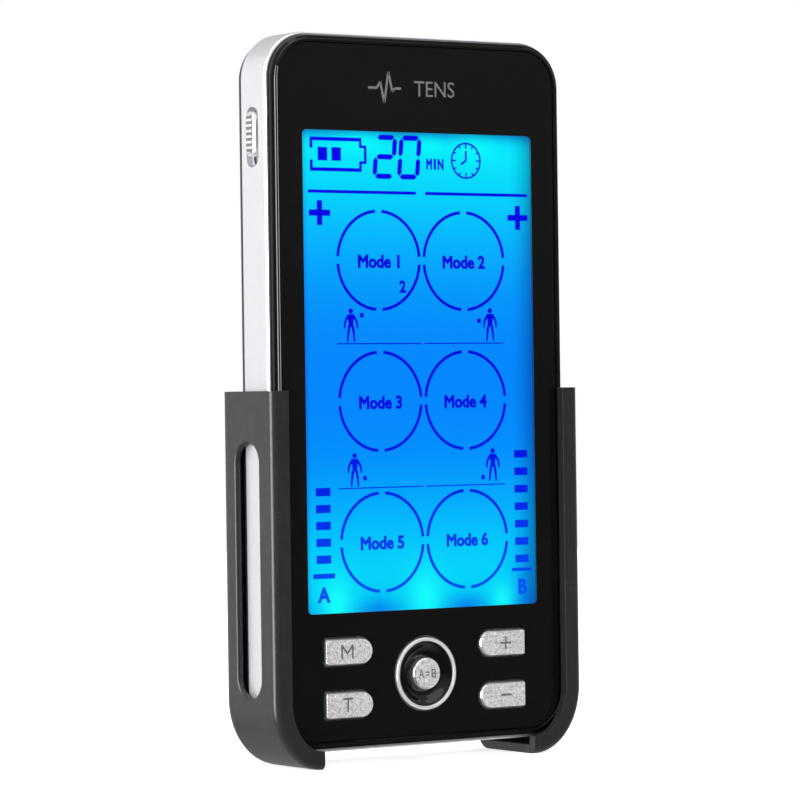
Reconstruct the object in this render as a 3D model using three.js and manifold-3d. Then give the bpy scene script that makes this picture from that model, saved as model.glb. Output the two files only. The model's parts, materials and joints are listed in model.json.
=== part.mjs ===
// Pocket TENS unit (nerve and muscle stimulator) in its belt holster.
// The unit lifts out of the holster, its five keys press in and its side switch slides.
// The clip on the holster's back swivels on a screw, and its lever is held shut by a spring.
import * as THREE from "three";
import { mergeVertices } from "three/addons/utils/BufferGeometryUtils.js";
import Module from "manifold-3d";

const wasm = await Module();
wasm.setup();

// ---- Driving dimensions, in millimetres ----
// X points right, Y from the unit's front face towards its back, Z up.
// Heights are counted from the lower edge of the front bezel, depths from its front face.
const GAP = 0.3; // clearance left between neighbouring pieces
const CORNER_STEPS = 6; // straight steps in each rounded corner

const BEZEL = { width: 60, height: 121.4, corner: 7.5, back: 1.6, rim: 1.1, round: 0.5 };
const MIDDLE = BEZEL.height / 2; // height of the unit's centre

const FRAME_LIP = 0.6; // the silver frame stands out this far round the bezel
const FRAME = {
  width: BEZEL.width + 2 * FRAME_LIP,
  height: BEZEL.height + 2 * FRAME_LIP,
  corner: BEZEL.corner + FRAME_LIP,
  front: BEZEL.back + GAP,
  back: 8.9,
  wall: 1.6,
  chamfer: 0.5,
};
const COVER = { front: FRAME.back + GAP, back: 12.6, floor: 1.4, round: 2.8 };
const LEDGE = { front: 1.2, width: 1.9 }; // shelf inside the bezel that carries the panel

const PANEL = { front: 0.1, back: 0.9 };
const WINDOW = { width: 47.9, bottom: 23.0, top: 105.3, corner: 0.8 };
const WINDOW_MIDDLE = (WINDOW.bottom + WINDOW.top) / 2;
const WINDOW_HEIGHT = WINDOW.top - WINDOW.bottom;

const LCD = { front: 1.4, back: 2.9, margin: 1.9 };
const BACKLIGHT = { front: LCD.back + GAP, back: 4.8 };
const BRACKET = { wall: 0.6, back: 4.9 };
const BOARD = { front: 5.4, back: 6.4, width: 54, bottom: 3.5, top: 104.4, corner: 2 };
const REAR_PARTS_FRONT = BOARD.back + GAP; // where the pieces behind the board begin

const KEY = {
  width: 9.7, height: 4.6, corner: 0.5, x: 16.1, middle: 11.85, pitch: 9.1,
  front: -0.5, flange: 0.6, flangeFront: 1.2, flangeBack: 1.8,
  stemRadius: 1.4, stemBack: 3.1, clearance: GAP,
};
const DIAL = {
  z: 11.85, ringOuter: 6.4, ringInner: 5.65, ringFront: -0.3, flange: 7.2,
  dishOuter: 5.35, dishInner: 3.2, dishFloor: 0.9, dishBack: 1.9,
  keyRadius: 2.85, keyFront: -0.5, keyFlange: 4.2,
};
const TACT = { size: 4.6, front: 3.6, back: BOARD.front - GAP };

const SLOT = { middleY: 5.5, width: 4.0, bottom: 99.0, top: 109.2, corner: 1.9 };
const KNOB = { width: 3.1, bottom: 100.8, top: 108.4, proud: 0.8, flange: 1.1 };

const JACK = { x: 10, y: 6.6, bottom: 105.2, hole: 1.25, collar: 1.7, body: 5.4 };
const PORT = { width: 7.8, front: 4.0, back: 7.0, height: 5.6, shell: 0.5 };

const SCREW_X = 25.6;
const SCREW_INSET = 5.4; // from the bezel's lower or upper edge
const CASE_SCREW = { head: 1.7, headFront: 11.95, headBack: 12.5, shank: 0.8, tip: 4.0 };
const BOSS = { radius: 3.0, front: 2.2, back: 8.6, hole: 1.1 };

// The holster: a cradle with a front lip, wrapped round both lower corners.
const HOLSTER = {
  halfWidth: 32.1, innerHalfWidth: 31.0, lipHalfWidth: 28.7,
  front: -2.0, lipBack: -0.4, innerBack: 13.0, back: 15.2,
  bottom: -3.3, innerBottom: -1.75, lipBottom: -0.1, top: 61,
  frontRound: 1.2, backRound: 3.0, wrapEnd: 21.6,
};
const SIDE_SLOT = { front: 2.5, back: 10.05, bottom: 8.65, top: 52.45 };
const PLATE_NOTCH = { halfWidth: 17, top: 3.2, corner: 3 }; // lower edge of the back plate

// The belt clip, on a round boss at the back of the holster.
const HUB = { z: 40, bossRadius: 9, bossBack: 17.2, hole: 1.9, holeFront: 13.6 };
const CLIP_BASE = {
  front: HUB.bossBack + GAP, back: 20.0, discRadius: 10.5, halfWidth: 9.4, bottom: 29, top: 60,
  hole: 2.2, earInner: 7.6, earRadius: 3.0,
};
const PIVOT = { y: 23.1, z: 56, pin: 1.0, hole: 1.3, pinHalfLength: 9.9 };
const LEVER = { halfWidth: 10, lugInner: 3.9, lugOuter: 7.3, lugRadius: 2.9 };
const SPRING = { radius: 2.0, wire: 0.4, halfWidth: 2.6, turns: 4.5, sides: 5 };

const STANDING_HEIGHT = -HOLSTER.bottom; // lifts the holster's lowest edge to the ground
const LEVER_BACK = 28; // rearmost point of the clip lever
const DEPTH_MIDDLE = (HOLSTER.front + LEVER_BACK) / 2;

// ---- Shapes in the plane of the front face ----
function roundedRect(width, height, corner, middleX = 0, middleZ = MIDDLE) {
  const [left, right] = [middleX - width / 2, middleX + width / 2];
  const [low, high] = [middleZ - height / 2, middleZ + height / 2];
  const shape = new THREE.Shape();
  shape.moveTo(left + corner, low);
  shape.lineTo(right - corner, low);
  shape.absarc(right - corner, low + corner, corner, -Math.PI / 2, 0);
  shape.absarc(right - corner, high - corner, corner, 0, Math.PI / 2);
  shape.absarc(left + corner, high - corner, corner, Math.PI / 2, Math.PI);
  shape.absarc(left + corner, low + corner, corner, Math.PI, 1.5 * Math.PI);
  return shape;
}

// A key's outline: square corners on the outer side, a half round towards the dial.
function keyOutline(side, middleZ, grow) {
  const height = KEY.height + 2 * grow;
  const reach = KEY.width / 2 + grow;
  const corner = KEY.corner;
  const round = height / 2;
  const shape = new THREE.Shape();
  const x = (u) => side * (KEY.x - u); // u grows towards the dial
  const facing = side > 0 ? Math.PI : 0;
  shape.moveTo(x(-reach), middleZ - round + corner);
  shape.lineTo(x(-reach + corner), middleZ - round);
  shape.lineTo(x(reach - round), middleZ - round);
  shape.absarc(
    x(reach - round), middleZ, round,
    facing + (side > 0 ? Math.PI / 2 : -Math.PI / 2),
    facing - (side > 0 ? Math.PI / 2 : -Math.PI / 2),
    side > 0,
  );
  shape.lineTo(x(-reach + corner), middleZ + round);
  shape.lineTo(x(-reach), middleZ + round - corner);
  return shape;
}

// A cradle outline that is open upwards: straight sides and one quarter ellipse at each lower corner.
function cradle(halfWidth, bottom, top, cornerX, cornerZ) {
  const [wide, tall] = [halfWidth - cornerX, cornerZ - bottom];
  const shape = new THREE.Shape();
  shape.moveTo(halfWidth, top);
  shape.lineTo(-halfWidth, top);
  shape.lineTo(-halfWidth, cornerZ);
  shape.absellipse(-cornerX, cornerZ, wide, tall, Math.PI, 1.5 * Math.PI);
  shape.absellipse(cornerX, cornerZ, wide, tall, 1.5 * Math.PI, 2 * Math.PI);
  return shape;
}

// ---- Solids ----
function solid(geometry) {
  const bare = geometry.clone();
  bare.deleteAttribute("normal");
  bare.deleteAttribute("uv");
  const merged = mergeVertices(bare, 1e-4);
  return new wasm.Manifold(
    new wasm.Mesh({
      numProp: 3,
      vertProperties: merged.attributes.position.array,
      triVerts: new Uint32Array(merged.index.array),
    }),
  );
}

// A flat plate with this outline, from depth front to depth back.
function plate(shape, front, back, steps = CORNER_STEPS) {
  const geometry = new THREE.ExtrudeGeometry(shape, {
    depth: back - front,
    bevelEnabled: false,
    curveSegments: steps,
  });
  geometry.rotateX(Math.PI / 2);
  geometry.translate(0, back, 0);
  return solid(geometry);
}

// The same plate with both its edges rounded or, with one step, chamfered.
function softPlate(shape, front, back, round, roundSteps = 3) {
  const geometry = new THREE.ExtrudeGeometry(shape, {
    depth: back - front - 2 * round,
    bevelThickness: round,
    bevelSize: round,
    bevelOffset: -round,
    bevelSegments: roundSteps,
    curveSegments: CORNER_STEPS,
  });
  geometry.rotateX(Math.PI / 2);
  geometry.translate(0, back - round, 0);
  return solid(geometry);
}

// A bar along X with a section drawn in depth and height.
function barAlongX(section, left, right, steps = CORNER_STEPS) {
  const geometry = new THREE.ExtrudeGeometry(section, {
    depth: right - left,
    bevelEnabled: false,
    curveSegments: steps,
  });
  const turn = new THREE.Matrix4().makeBasis(
    new THREE.Vector3(0, 1, 0),
    new THREE.Vector3(0, 0, 1),
    new THREE.Vector3(1, 0, 0),
  );
  geometry.applyMatrix4(turn);
  geometry.translate(left, 0, 0);
  return solid(geometry);
}

function block(left, right, front, back, low, high) {
  const geometry = new THREE.BoxGeometry(right - left, back - front, high - low);
  geometry.translate((left + right) / 2, (front + back) / 2, (low + high) / 2);
  return solid(geometry);
}

function rod(radius, x, z, front, back, sides = 24) {
  const geometry = new THREE.CylinderGeometry(radius, radius, back - front, sides);
  geometry.translate(x, (front + back) / 2, z);
  return solid(geometry);
}

function rodAlongX(radius, y, z, left, right, sides = 20) {
  const geometry = new THREE.CylinderGeometry(radius, radius, right - left, sides);
  geometry.rotateZ(-Math.PI / 2);
  geometry.translate((left + right) / 2, y, z);
  return solid(geometry);
}

function rodAlongZ(radius, x, y, low, high, sides = 20) {
  const geometry = new THREE.CylinderGeometry(radius, radius, high - low, sides);
  geometry.rotateX(Math.PI / 2);
  geometry.translate(x, y, (low + high) / 2);
  return solid(geometry);
}

// Turns a profile of [radius, depth] points round an axis that runs front to back.
function turned(profile, x, z, sides = 32) {
  const points = profile.map(([radius, depth]) => new THREE.Vector2(radius, depth));
  const geometry = new THREE.LatheGeometry(points, sides);
  geometry.translate(x, 0, z);
  return solid(geometry);
}

function joined(...solids) {
  return solids.reduce((all, next) => all.add(next));
}

function cut(base, ...tools) {
  return tools.reduce((rest, tool) => rest.subtract(tool), base);
}

const object = new THREE.Group();
object.position.set(0, -DEPTH_MIDDLE, STANDING_HEIGHT);

function addNode(name, made, colour, roughness, metalness = 0) {
  const mesh = made.getMesh();
  const geometry = new THREE.BufferGeometry();
  geometry.setAttribute("position", new THREE.BufferAttribute(mesh.vertProperties, 3));
  geometry.setIndex(new THREE.BufferAttribute(mesh.triVerts, 1));
  geometry.computeVertexNormals();
  const material = new THREE.MeshStandardMaterial({ color: colour, roughness, metalness });
  const node = new THREE.Mesh(geometry, material);
  node.name = name;
  object.add(node);
}

// ---- The unit's case ----
function frontBezel() {
  const outline = roundedRect(BEZEL.width, BEZEL.height, BEZEL.corner);
  const overlong = BEZEL.back + 2;
  const body = cut(
    softPlate(outline, 0, overlong, BEZEL.round, 2),
    block(-BEZEL.width, BEZEL.width, BEZEL.back, overlong + 1, -BEZEL.height, 2 * BEZEL.height),
  );
  const pocketWidth = BEZEL.width - 2 * BEZEL.rim;
  const pocketHeight = BEZEL.height - 2 * BEZEL.rim;
  const pocket = roundedRect(pocketWidth, pocketHeight, BEZEL.corner - BEZEL.rim);
  const openWidth = pocketWidth - 2 * LEDGE.width;
  const openHeight = pocketHeight - 2 * LEDGE.width;
  const open = roundedRect(openWidth, openHeight, BEZEL.corner - BEZEL.rim - LEDGE.width);
  return cut(body, plate(pocket, -1, LEDGE.front), plate(open, -1, BEZEL.back + 1));
}

function keyPlaces() {
  const upper = KEY.middle + KEY.pitch / 2;
  const lower = KEY.middle - KEY.pitch / 2;
  return [
    { name: "mode", side: -1, z: upper },
    { name: "time", side: -1, z: lower },
    { name: "plus", side: 1, z: upper },
    { name: "minus", side: 1, z: lower },
  ];
}

function frontPanel() {
  const inset = BEZEL.rim + GAP;
  const outline = roundedRect(
    BEZEL.width - 2 * inset, BEZEL.height - 2 * inset, BEZEL.corner - inset,
  );
  const window = roundedRect(WINDOW.width, WINDOW_HEIGHT, WINDOW.corner, 0, WINDOW_MIDDLE);
  const holes = keyPlaces().map((place) =>
    plate(keyOutline(place.side, place.z, KEY.clearance), -1, 2),
  );
  const dialHole = rod(DIAL.ringOuter + GAP, 0, DIAL.z, -1, 2, 32);
  return cut(plate(outline, PANEL.front, PANEL.back), plate(window, -1, 2, 3), dialHole, ...holes);
}

function displayWindow() {
  const outline = roundedRect(
    WINDOW.width - 2 * GAP, WINDOW_HEIGHT - 2 * GAP, WINDOW.corner - GAP, 0, WINDOW_MIDDLE,
  );
  return plate(outline, PANEL.front, PANEL.back, 3);
}

function screwPlaces() {
  const heights = [SCREW_INSET, BEZEL.height - SCREW_INSET];
  return heights.flatMap((z) => [-SCREW_X, SCREW_X].map((x) => ({ x, z })));
}

function midFrame() {
  const outline = roundedRect(FRAME.width, FRAME.height, FRAME.corner);
  const inner = roundedRect(
    FRAME.width - 2 * FRAME.wall, FRAME.height - 2 * FRAME.wall, FRAME.corner - FRAME.wall,
  );
  const overlong = FRAME.back + 2;
  const ring = cut(
    softPlate(outline, FRAME.front, overlong, FRAME.chamfer, 1),
    block(-FRAME.width, FRAME.width, FRAME.back, overlong + 1, -FRAME.height, 2 * FRAME.height),
    plate(inner, 0, overlong + 1),
  );
  const bosses = screwPlaces().map(({ x, z }) =>
    rod(BOSS.radius, x, z, BOSS.front, BOSS.back, 20).intersect(
      plate(outline, BOSS.front, BOSS.back),
    ),
  );
  const bossHoles = screwPlaces().map(({ x, z }) => rod(BOSS.hole, x, z, 3, FRAME.back + 1, 16));
  const slotSection = roundedRect(
    SLOT.width, SLOT.top - SLOT.bottom, SLOT.corner, SLOT.middleY, (SLOT.top + SLOT.bottom) / 2,
  );
  const slot = barAlongX(slotSection, -FRAME.width, -FRAME.width / 2 + FRAME.wall + 1);
  const jackHoles = [-JACK.x, JACK.x].map((x) =>
    rodAlongZ(JACK.collar + GAP, x, JACK.y, BEZEL.height - 4, FRAME.height + 5),
  );
  const portHole = block(
    -PORT.width / 2 - GAP, PORT.width / 2 + GAP, PORT.front - GAP, PORT.back + GAP, -5, FRAME.wall,
  );
  return cut(joined(ring, ...bosses), ...bossHoles, slot, ...jackHoles, portHole);
}

function rearCover() {
  const outline = roundedRect(FRAME.width, FRAME.height, FRAME.corner);
  const inner = roundedRect(
    FRAME.width - 2 * FRAME.wall, FRAME.height - 2 * FRAME.wall, FRAME.corner - FRAME.wall,
  );
  const start = COVER.front - 2 * COVER.round;
  const shell = cut(
    softPlate(outline, start, COVER.back, COVER.round, 3),
    block(-FRAME.width, FRAME.width, start - 1, COVER.front, -FRAME.height, 2 * FRAME.height),
    plate(inner, 0, COVER.back - COVER.floor),
  );
  const counterbore = CASE_SCREW.head + GAP;
  const seat = CASE_SCREW.headFront - GAP;
  const holes = screwPlaces().flatMap(({ x, z }) => [
    rod(counterbore, x, z, seat, COVER.back + 1, 20),
    rod(BOSS.hole, x, z, COVER.front, COVER.back + 1, 16),
  ]);
  return cut(shell, ...holes);
}

function caseScrew(place) {
  const head = rod(CASE_SCREW.head, place.x, place.z, CASE_SCREW.headFront, CASE_SCREW.headBack, 20);
  const shank = rod(CASE_SCREW.shank, place.x, place.z, CASE_SCREW.tip, CASE_SCREW.headBack - 0.2, 12);
  const [arm, blade, slotFront] = [1.0, 0.3, CASE_SCREW.headBack - 0.3];
  const past = CASE_SCREW.headBack + 1;
  const across = block(place.x - arm, place.x + arm, slotFront, past, place.z - blade / 2, place.z + blade / 2);
  const upright = block(place.x - blade / 2, place.x + blade / 2, slotFront, past, place.z - arm, place.z + arm);
  return cut(joined(head, shank), across, upright);
}

const GLOSS_BLACK = 0x0b0b0c;
const SILVER = 0xd9dade;
const MATTE_BLACK = 0x17181a;
const STEEL = 0xb9bcc0;

addNode("front_bezel", frontBezel(), GLOSS_BLACK, 0.12);
addNode("front_panel", frontPanel(), GLOSS_BLACK, 0.05);
addNode("display_window", displayWindow(), 0x1b6fe0, 0.05);
addNode("mid_frame", midFrame(), SILVER, 0.35, 0.9);
addNode("rear_cover", rearCover(), MATTE_BLACK, 0.45);
screwPlaces().forEach((place, i) => {
  addNode(`case_screw_${i + 1}`, caseScrew(place), STEEL, 0.35, 1);
});

// ---- Keys, dial and side switch ----
function keyCap({ side, z }) {
  const cap = plate(keyOutline(side, z, 0), KEY.front, KEY.flangeFront + 0.2);
  const flange = plate(keyOutline(side, z, KEY.flange), KEY.flangeFront, KEY.flangeBack);
  const stem = rod(KEY.stemRadius, side * KEY.x, z, KEY.flangeBack - 0.2, KEY.stemBack, 16);
  return joined(cap, flange, stem);
}

function tactSwitch(x, z) {
  const half = TACT.size / 2;
  const pusher = 0.5;
  return joined(
    block(x - half, x + half, TACT.front + pusher, TACT.back, z - half, z + half),
    rod(1.2, x, z, TACT.front, TACT.back - pusher, 16),
  );
}

keyPlaces().forEach((place) => {
  addNode(`key_${place.name}`, keyCap(place), SILVER, 0.4, 0.85);
  addNode(`tact_switch_${place.name}`, tactSwitch(place.side * KEY.x, place.z), 0x2a2a2c, 0.5);
});

// Each round profile below runs from the front to the back and is closed by its last point.
const dialRing = turned([
  [DIAL.ringInner, DIAL.ringFront + 0.15],
  [DIAL.ringInner + 0.15, DIAL.ringFront],
  [DIAL.ringOuter - 0.25, DIAL.ringFront],
  [DIAL.ringOuter, DIAL.ringFront + 0.25],
  [DIAL.ringOuter, KEY.flangeFront],
  [DIAL.flange, KEY.flangeFront],
  [DIAL.flange, KEY.flangeBack],
  [DIAL.ringInner, KEY.flangeBack],
  [DIAL.ringInner, DIAL.ringFront + 0.15],
], 0, DIAL.z, 40);

const dialDish = turned([
  [DIAL.dishInner, DIAL.dishFloor],
  [DIAL.dishInner + 0.5, DIAL.dishFloor],
  [DIAL.dishOuter - 0.4, PANEL.front],
  [DIAL.dishOuter, PANEL.front],
  [DIAL.dishOuter, DIAL.dishBack],
  [DIAL.dishInner, DIAL.dishBack],
  [DIAL.dishInner, DIAL.dishFloor],
], 0, DIAL.z, 40);

const channelKey = turned([
  [0, DIAL.keyFront],
  [DIAL.keyRadius - 0.3, DIAL.keyFront],
  [DIAL.keyRadius, DIAL.keyFront + 0.3],
  [DIAL.keyRadius, DIAL.dishBack + GAP],
  [DIAL.keyFlange, DIAL.dishBack + GAP],
  [DIAL.keyFlange, DIAL.dishBack + 2 * GAP],
  [KEY.stemRadius, DIAL.dishBack + 2 * GAP],
  [KEY.stemRadius, KEY.stemBack],
  [0, KEY.stemBack],
], 0, DIAL.z, 36);

addNode("dial_ring", dialRing, 0xe6e8ec, 0.12, 1);
addNode("dial_dish", dialDish, GLOSS_BLACK, 0.08);
addNode("key_channel", channelKey, SILVER, 0.35, 0.85);
addNode("tact_switch_channel", tactSwitch(0, DIAL.z), 0x2a2a2c, 0.5);

function sideSwitchKnob() {
  const outer = -FRAME.width / 2 - KNOB.proud;
  const inner = -FRAME.width / 2 + FRAME.wall + GAP;
  const middle = (KNOB.bottom + KNOB.top) / 2;
  const height = KNOB.top - KNOB.bottom;
  const pad = barAlongX(
    roundedRect(KNOB.width, height, 1.4, SLOT.middleY, middle), outer, inner + 0.3,
  );
  const cover = 2.8; // how far the hidden flange reaches past the knob, up and down
  const flange = block(
    inner, inner + 0.7,
    SLOT.middleY - KNOB.width / 2 - KNOB.flange, SLOT.middleY + KNOB.width / 2 + KNOB.flange,
    KNOB.bottom - cover, KNOB.top + cover,
  );
  const ribs = 5;
  const grooves = Array.from({ length: ribs }, (_, i) => {
    const z = KNOB.bottom + (height * (i + 1)) / (ribs + 1);
    return block(outer - 1, outer + 0.4, 0, FRAME.back, z - 0.3, z + 0.3);
  });
  return cut(joined(pad, flange), ...grooves);
}

addNode("side_switch_knob", sideSwitchKnob(), SILVER, 0.3, 0.85);
addNode("side_switch_body", block(-27.2, -23.4, 5.2, 8.3, 99.5, 108), 0x3a3b3d, 0.5);

// ---- Inside the case ----
const lcdOutline = (grow) =>
  roundedRect(
    WINDOW.width + 2 * (LCD.margin + grow), WINDOW_HEIGHT + 2 * (LCD.margin + grow), 0.6 + grow,
    0, WINDOW_MIDDLE,
  );

const lcdBracket = cut(
  plate(lcdOutline(GAP + BRACKET.wall), LCD.front, BRACKET.back, 2),
  plate(lcdOutline(GAP), 0, BRACKET.back + 1, 2),
);

function mainBoard() {
  const height = BOARD.top - BOARD.bottom;
  const middle = (BOARD.top + BOARD.bottom) / 2;
  const sheet = plate(
    roundedRect(BOARD.width, height, BOARD.corner, 0, middle), BOARD.front, BOARD.back, 3,
  );
  const reliefs = screwPlaces().map(({ x, z }) => rod(BOSS.radius + 0.5, x, z, 0, 12, 20));
  const switchBay = block(-BOARD.width, -22.8, 0, 12, 96.5, BOARD.top + 1);
  const portBay = block(-PORT.width / 2 - 0.5, PORT.width / 2 + 0.5, 0, 12, 0, PORT.height + 0.5);
  return cut(sheet, ...reliefs, switchBay, portBay);
}

function transformer(x) {
  const [halfWidth, halfHeight, depth, z] = [5, 4.5, 4.0, 92];
  const back = REAR_PARTS_FRONT + depth;
  const winding = block(x - 3.2, x + 3.2, REAR_PARTS_FRONT, back, z - halfHeight, z + halfHeight);
  const core = block(
    x - halfWidth, x + halfWidth, REAR_PARTS_FRONT + 0.7, back - 0.7, z - 2.6, z + 2.6,
  );
  return joined(winding, core);
}

function outputJack(x) {
  const half = JACK.body / 2;
  const wallInside = FRAME.height - FRAME_LIP - FRAME.wall - GAP;
  const [front, back] = [JACK.y - 1.6, JACK.y + 2.1];
  const housing = block(x - half, x + half, front, back, JACK.bottom, wallInside);
  const collar = rodAlongZ(JACK.collar, x, JACK.y, wallInside - 0.5, FRAME.height - FRAME_LIP - 0.2);
  const socket = rodAlongZ(JACK.hole, x, JACK.y, JACK.bottom + 2.5, FRAME.height + 3);
  return cut(joined(housing, collar), socket);
}

function chargingPort() {
  const bottom = -FRAME_LIP + 0.2;
  const shell = block(
    -PORT.width / 2, PORT.width / 2, PORT.front, PORT.back, bottom, PORT.height,
  );
  const mouth = block(
    -PORT.width / 2 + PORT.shell, PORT.width / 2 - PORT.shell,
    PORT.front + PORT.shell, PORT.back - PORT.shell, bottom - 1, PORT.height - 0.6,
  );
  const tongue = block(-2, 2, 5.2, 5.8, bottom + 0.8, PORT.height - 0.3);
  return joined(cut(shell, mouth), tongue);
}

addNode("lcd_bracket", lcdBracket, 0x2c2d30, 0.6);
addNode("lcd_glass", plate(lcdOutline(0), LCD.front, LCD.back, 2), 0x2f86e6, 0.1);
addNode("lcd_backlight", plate(lcdOutline(0), BACKLIGHT.front, BACKLIGHT.back, 2), 0xe8f2ff, 0.5);
addNode("main_board", mainBoard(), 0x1f6b3a, 0.5);
addNode("battery", plate(roundedRect(34, 54, 2, 0, 57), 7.0, 10.9, 3), 0xc4c7cc, 0.4, 0.4);
addNode("processor_chip", block(-13, -4, REAR_PARTS_FRONT, 7.8, 14, 23), 0x141416, 0.5);
addNode("output_transformer_a", transformer(-12), 0xc9a227, 0.5);
addNode("output_transformer_b", transformer(12), 0xc9a227, 0.5);
addNode("output_jack_a", outputJack(-JACK.x), 0x1a1a1c, 0.4);
addNode("output_jack_b", outputJack(JACK.x), 0x1a1a1c, 0.4);
addNode("charging_port", chargingPort(), STEEL, 0.3, 1);

// ---- The holster ----
function holster() {
  const high = HOLSTER.top + 12; // the outlines run past the top, which one flat cut then trims
  const [cornerX, cornerZ] = [22.4, 8.5];
  const outline = cradle(HOLSTER.halfWidth, HOLSTER.bottom, high, cornerX, cornerZ);
  const cavity = cradle(HOLSTER.innerHalfWidth, HOLSTER.innerBottom, high + 1, 22, 7.6);
  const opening = cradle(HOLSTER.lipHalfWidth, HOLSTER.lipBottom, high + 1, cornerX, cornerZ);
  const reach = 10;
  const body = softPlate(outline, HOLSTER.front, HOLSTER.back + reach, HOLSTER.frontRound, 3)
    .intersect(softPlate(outline, HOLSTER.front - reach, HOLSTER.back, HOLSTER.backRound, 3));
  const boss = turned([
    [0, HOLSTER.back - 0.5],
    [HUB.bossRadius, HOLSTER.back - 0.5],
    [HUB.bossRadius, HUB.bossBack - 0.4],
    [HUB.bossRadius - 0.4, HUB.bossBack],
    [0, HUB.bossBack],
  ], 0, HUB.z, 36);
  const slot = barAlongX(
    roundedRect(
      SIDE_SLOT.back - SIDE_SLOT.front, SIDE_SLOT.top - SIDE_SLOT.bottom,
      (SIDE_SLOT.back - SIDE_SLOT.front) / 2,
      (SIDE_SLOT.back + SIDE_SLOT.front) / 2, (SIDE_SLOT.top + SIDE_SLOT.bottom) / 2,
    ),
    -HOLSTER.halfWidth - 1, HOLSTER.halfWidth + 1,
  );
  const notch = roundedRect(
    2 * PLATE_NOTCH.halfWidth, 4 * PLATE_NOTCH.top, PLATE_NOTCH.corner, 0, -PLATE_NOTCH.top,
  );
  return cut(
    joined(body, boss),
    block(-50, 50, -20, 40, HOLSTER.top, high + 5),
    plate(cavity, HOLSTER.lipBack, HOLSTER.innerBack),
    plate(opening, HOLSTER.front - 1, HOLSTER.lipBack + 0.5),
    block(-HOLSTER.wrapEnd, HOLSTER.wrapEnd, -20, 40, -20, HOLSTER.lipBottom + GAP),
    plate(notch, HOLSTER.innerBack - 1, HOLSTER.back + 1, 4),
    slot,
    rod(HUB.hole, 0, HUB.z, HUB.holeFront, HUB.bossBack + 1, 20),
  );
}

addNode("holster", holster(), 0x2b2c2f, 0.55);

// ---- The belt clip ----
function clipBase() {
  const { front, back, halfWidth, bottom, top } = CLIP_BASE;
  const disc = rod(CLIP_BASE.discRadius, 0, HUB.z, front, back, 40);
  const strap = plate(
    roundedRect(2 * halfWidth, top - bottom, 2, 0, (top + bottom) / 2), front, back, 3,
  );
  const earSection = new THREE.Shape();
  earSection.moveTo(back - 0.5, PIVOT.z - 5);
  earSection.lineTo(PIVOT.y, PIVOT.z - CLIP_BASE.earRadius);
  earSection.absarc(PIVOT.y, PIVOT.z, CLIP_BASE.earRadius, -Math.PI / 2, Math.PI / 2);
  earSection.lineTo(back - 0.5, PIVOT.z + 3.8);
  const ears = [-1, 1].map((side) => {
    const [near, far] = [side * CLIP_BASE.earInner, side * halfWidth].sort((a, b) => a - b);
    return barAlongX(earSection, near, far);
  });
  return cut(
    joined(disc, strap, ...ears),
    rod(CLIP_BASE.hole, 0, HUB.z, front - 1, back + 1, 24),
    rodAlongX(PIVOT.hole, PIVOT.y, PIVOT.z, -halfWidth - 1, halfWidth + 1),
  );
}

// Side view of the lever: thumb pad above the pin, a long bowed arm, and a hook at the foot.
function leverSection() {
  const section = new THREE.Shape();
  section.moveTo(24.6, 72);
  section.quadraticCurveTo(26.2, 64, 26.2, 56);
  section.quadraticCurveTo(26.2, 34, 25.2, 14);
  section.quadraticCurveTo(24.6, 7.4, 19.4, 6.9);
  section.lineTo(17.0, 7.6);
  section.lineTo(15.8, 6.2);
  section.quadraticCurveTo(18.0, 4.6, 20.0, 4.8);
  section.quadraticCurveTo(26.4, 5.2, 27.1, 14);
  section.quadraticCurveTo(LEVER_BACK, 34, LEVER_BACK, 56);
  section.quadraticCurveTo(LEVER_BACK, 65, 26.2, 72.4);
  return section;
}

function clipLever() {
  const arm = barAlongX(leverSection(), -LEVER.halfWidth, LEVER.halfWidth, 8);
  const sides = plate(
    roundedRect(2 * LEVER.halfWidth, 68.6, 5, 0, 38.4), 10, 35, 5,
  );
  const lugSection = new THREE.Shape();
  lugSection.moveTo(26.6, PIVOT.z + 4);
  lugSection.lineTo(PIVOT.y, PIVOT.z + LEVER.lugRadius);
  lugSection.absarc(PIVOT.y, PIVOT.z, LEVER.lugRadius, Math.PI / 2, 1.5 * Math.PI);
  lugSection.lineTo(26.6, PIVOT.z - 4);
  const lugs = [-1, 1].map((side) => {
    const [near, far] = [side * LEVER.lugInner, side * LEVER.lugOuter].sort((a, b) => a - b);
    return barAlongX(lugSection, near, far);
  });
  return cut(
    joined(arm.intersect(sides), ...lugs),
    rodAlongX(PIVOT.hole, PIVOT.y, PIVOT.z, -LEVER.halfWidth - 1, LEVER.halfWidth + 1),
  );
}

// One leg lies behind the base, the wire winds round the pin, the other leg presses the thumb pad.
function clipSpring() {
  const { radius, halfWidth, turns } = SPRING;
  const points = [new THREE.Vector3(-halfWidth, PIVOT.y - radius, PIVOT.z + 7.5)];
  points.push(new THREE.Vector3(-halfWidth, PIVOT.y - radius, PIVOT.z + 3.5));
  const steps = 8; // points in each turn
  const total = Math.round(turns * steps);
  for (let i = 0; i <= total; i += 1) {
    const angle = Math.PI + (2 * Math.PI * i) / steps;
    const x = -halfWidth + (2 * halfWidth * i) / total;
    const y = PIVOT.y + radius * Math.cos(angle);
    const z = PIVOT.z + radius * Math.sin(angle);
    points.push(new THREE.Vector3(x, y, z));
  }
  points.push(new THREE.Vector3(halfWidth, PIVOT.y + radius, PIVOT.z + 3.5));
  points.push(new THREE.Vector3(halfWidth, PIVOT.y + radius, PIVOT.z + 7.5));
  const path = new THREE.CatmullRomCurve3(points);
  const wire = new THREE.Shape();
  for (let i = 0; i < SPRING.sides; i += 1) {
    const angle = (2 * Math.PI * i) / SPRING.sides;
    const [u, v] = [SPRING.wire * Math.cos(angle), SPRING.wire * Math.sin(angle)];
    if (i === 0) wire.moveTo(u, v);
    else wire.lineTo(u, v);
  }
  return solid(new THREE.ExtrudeGeometry(wire, { steps: 66, extrudePath: path }));
}

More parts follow.
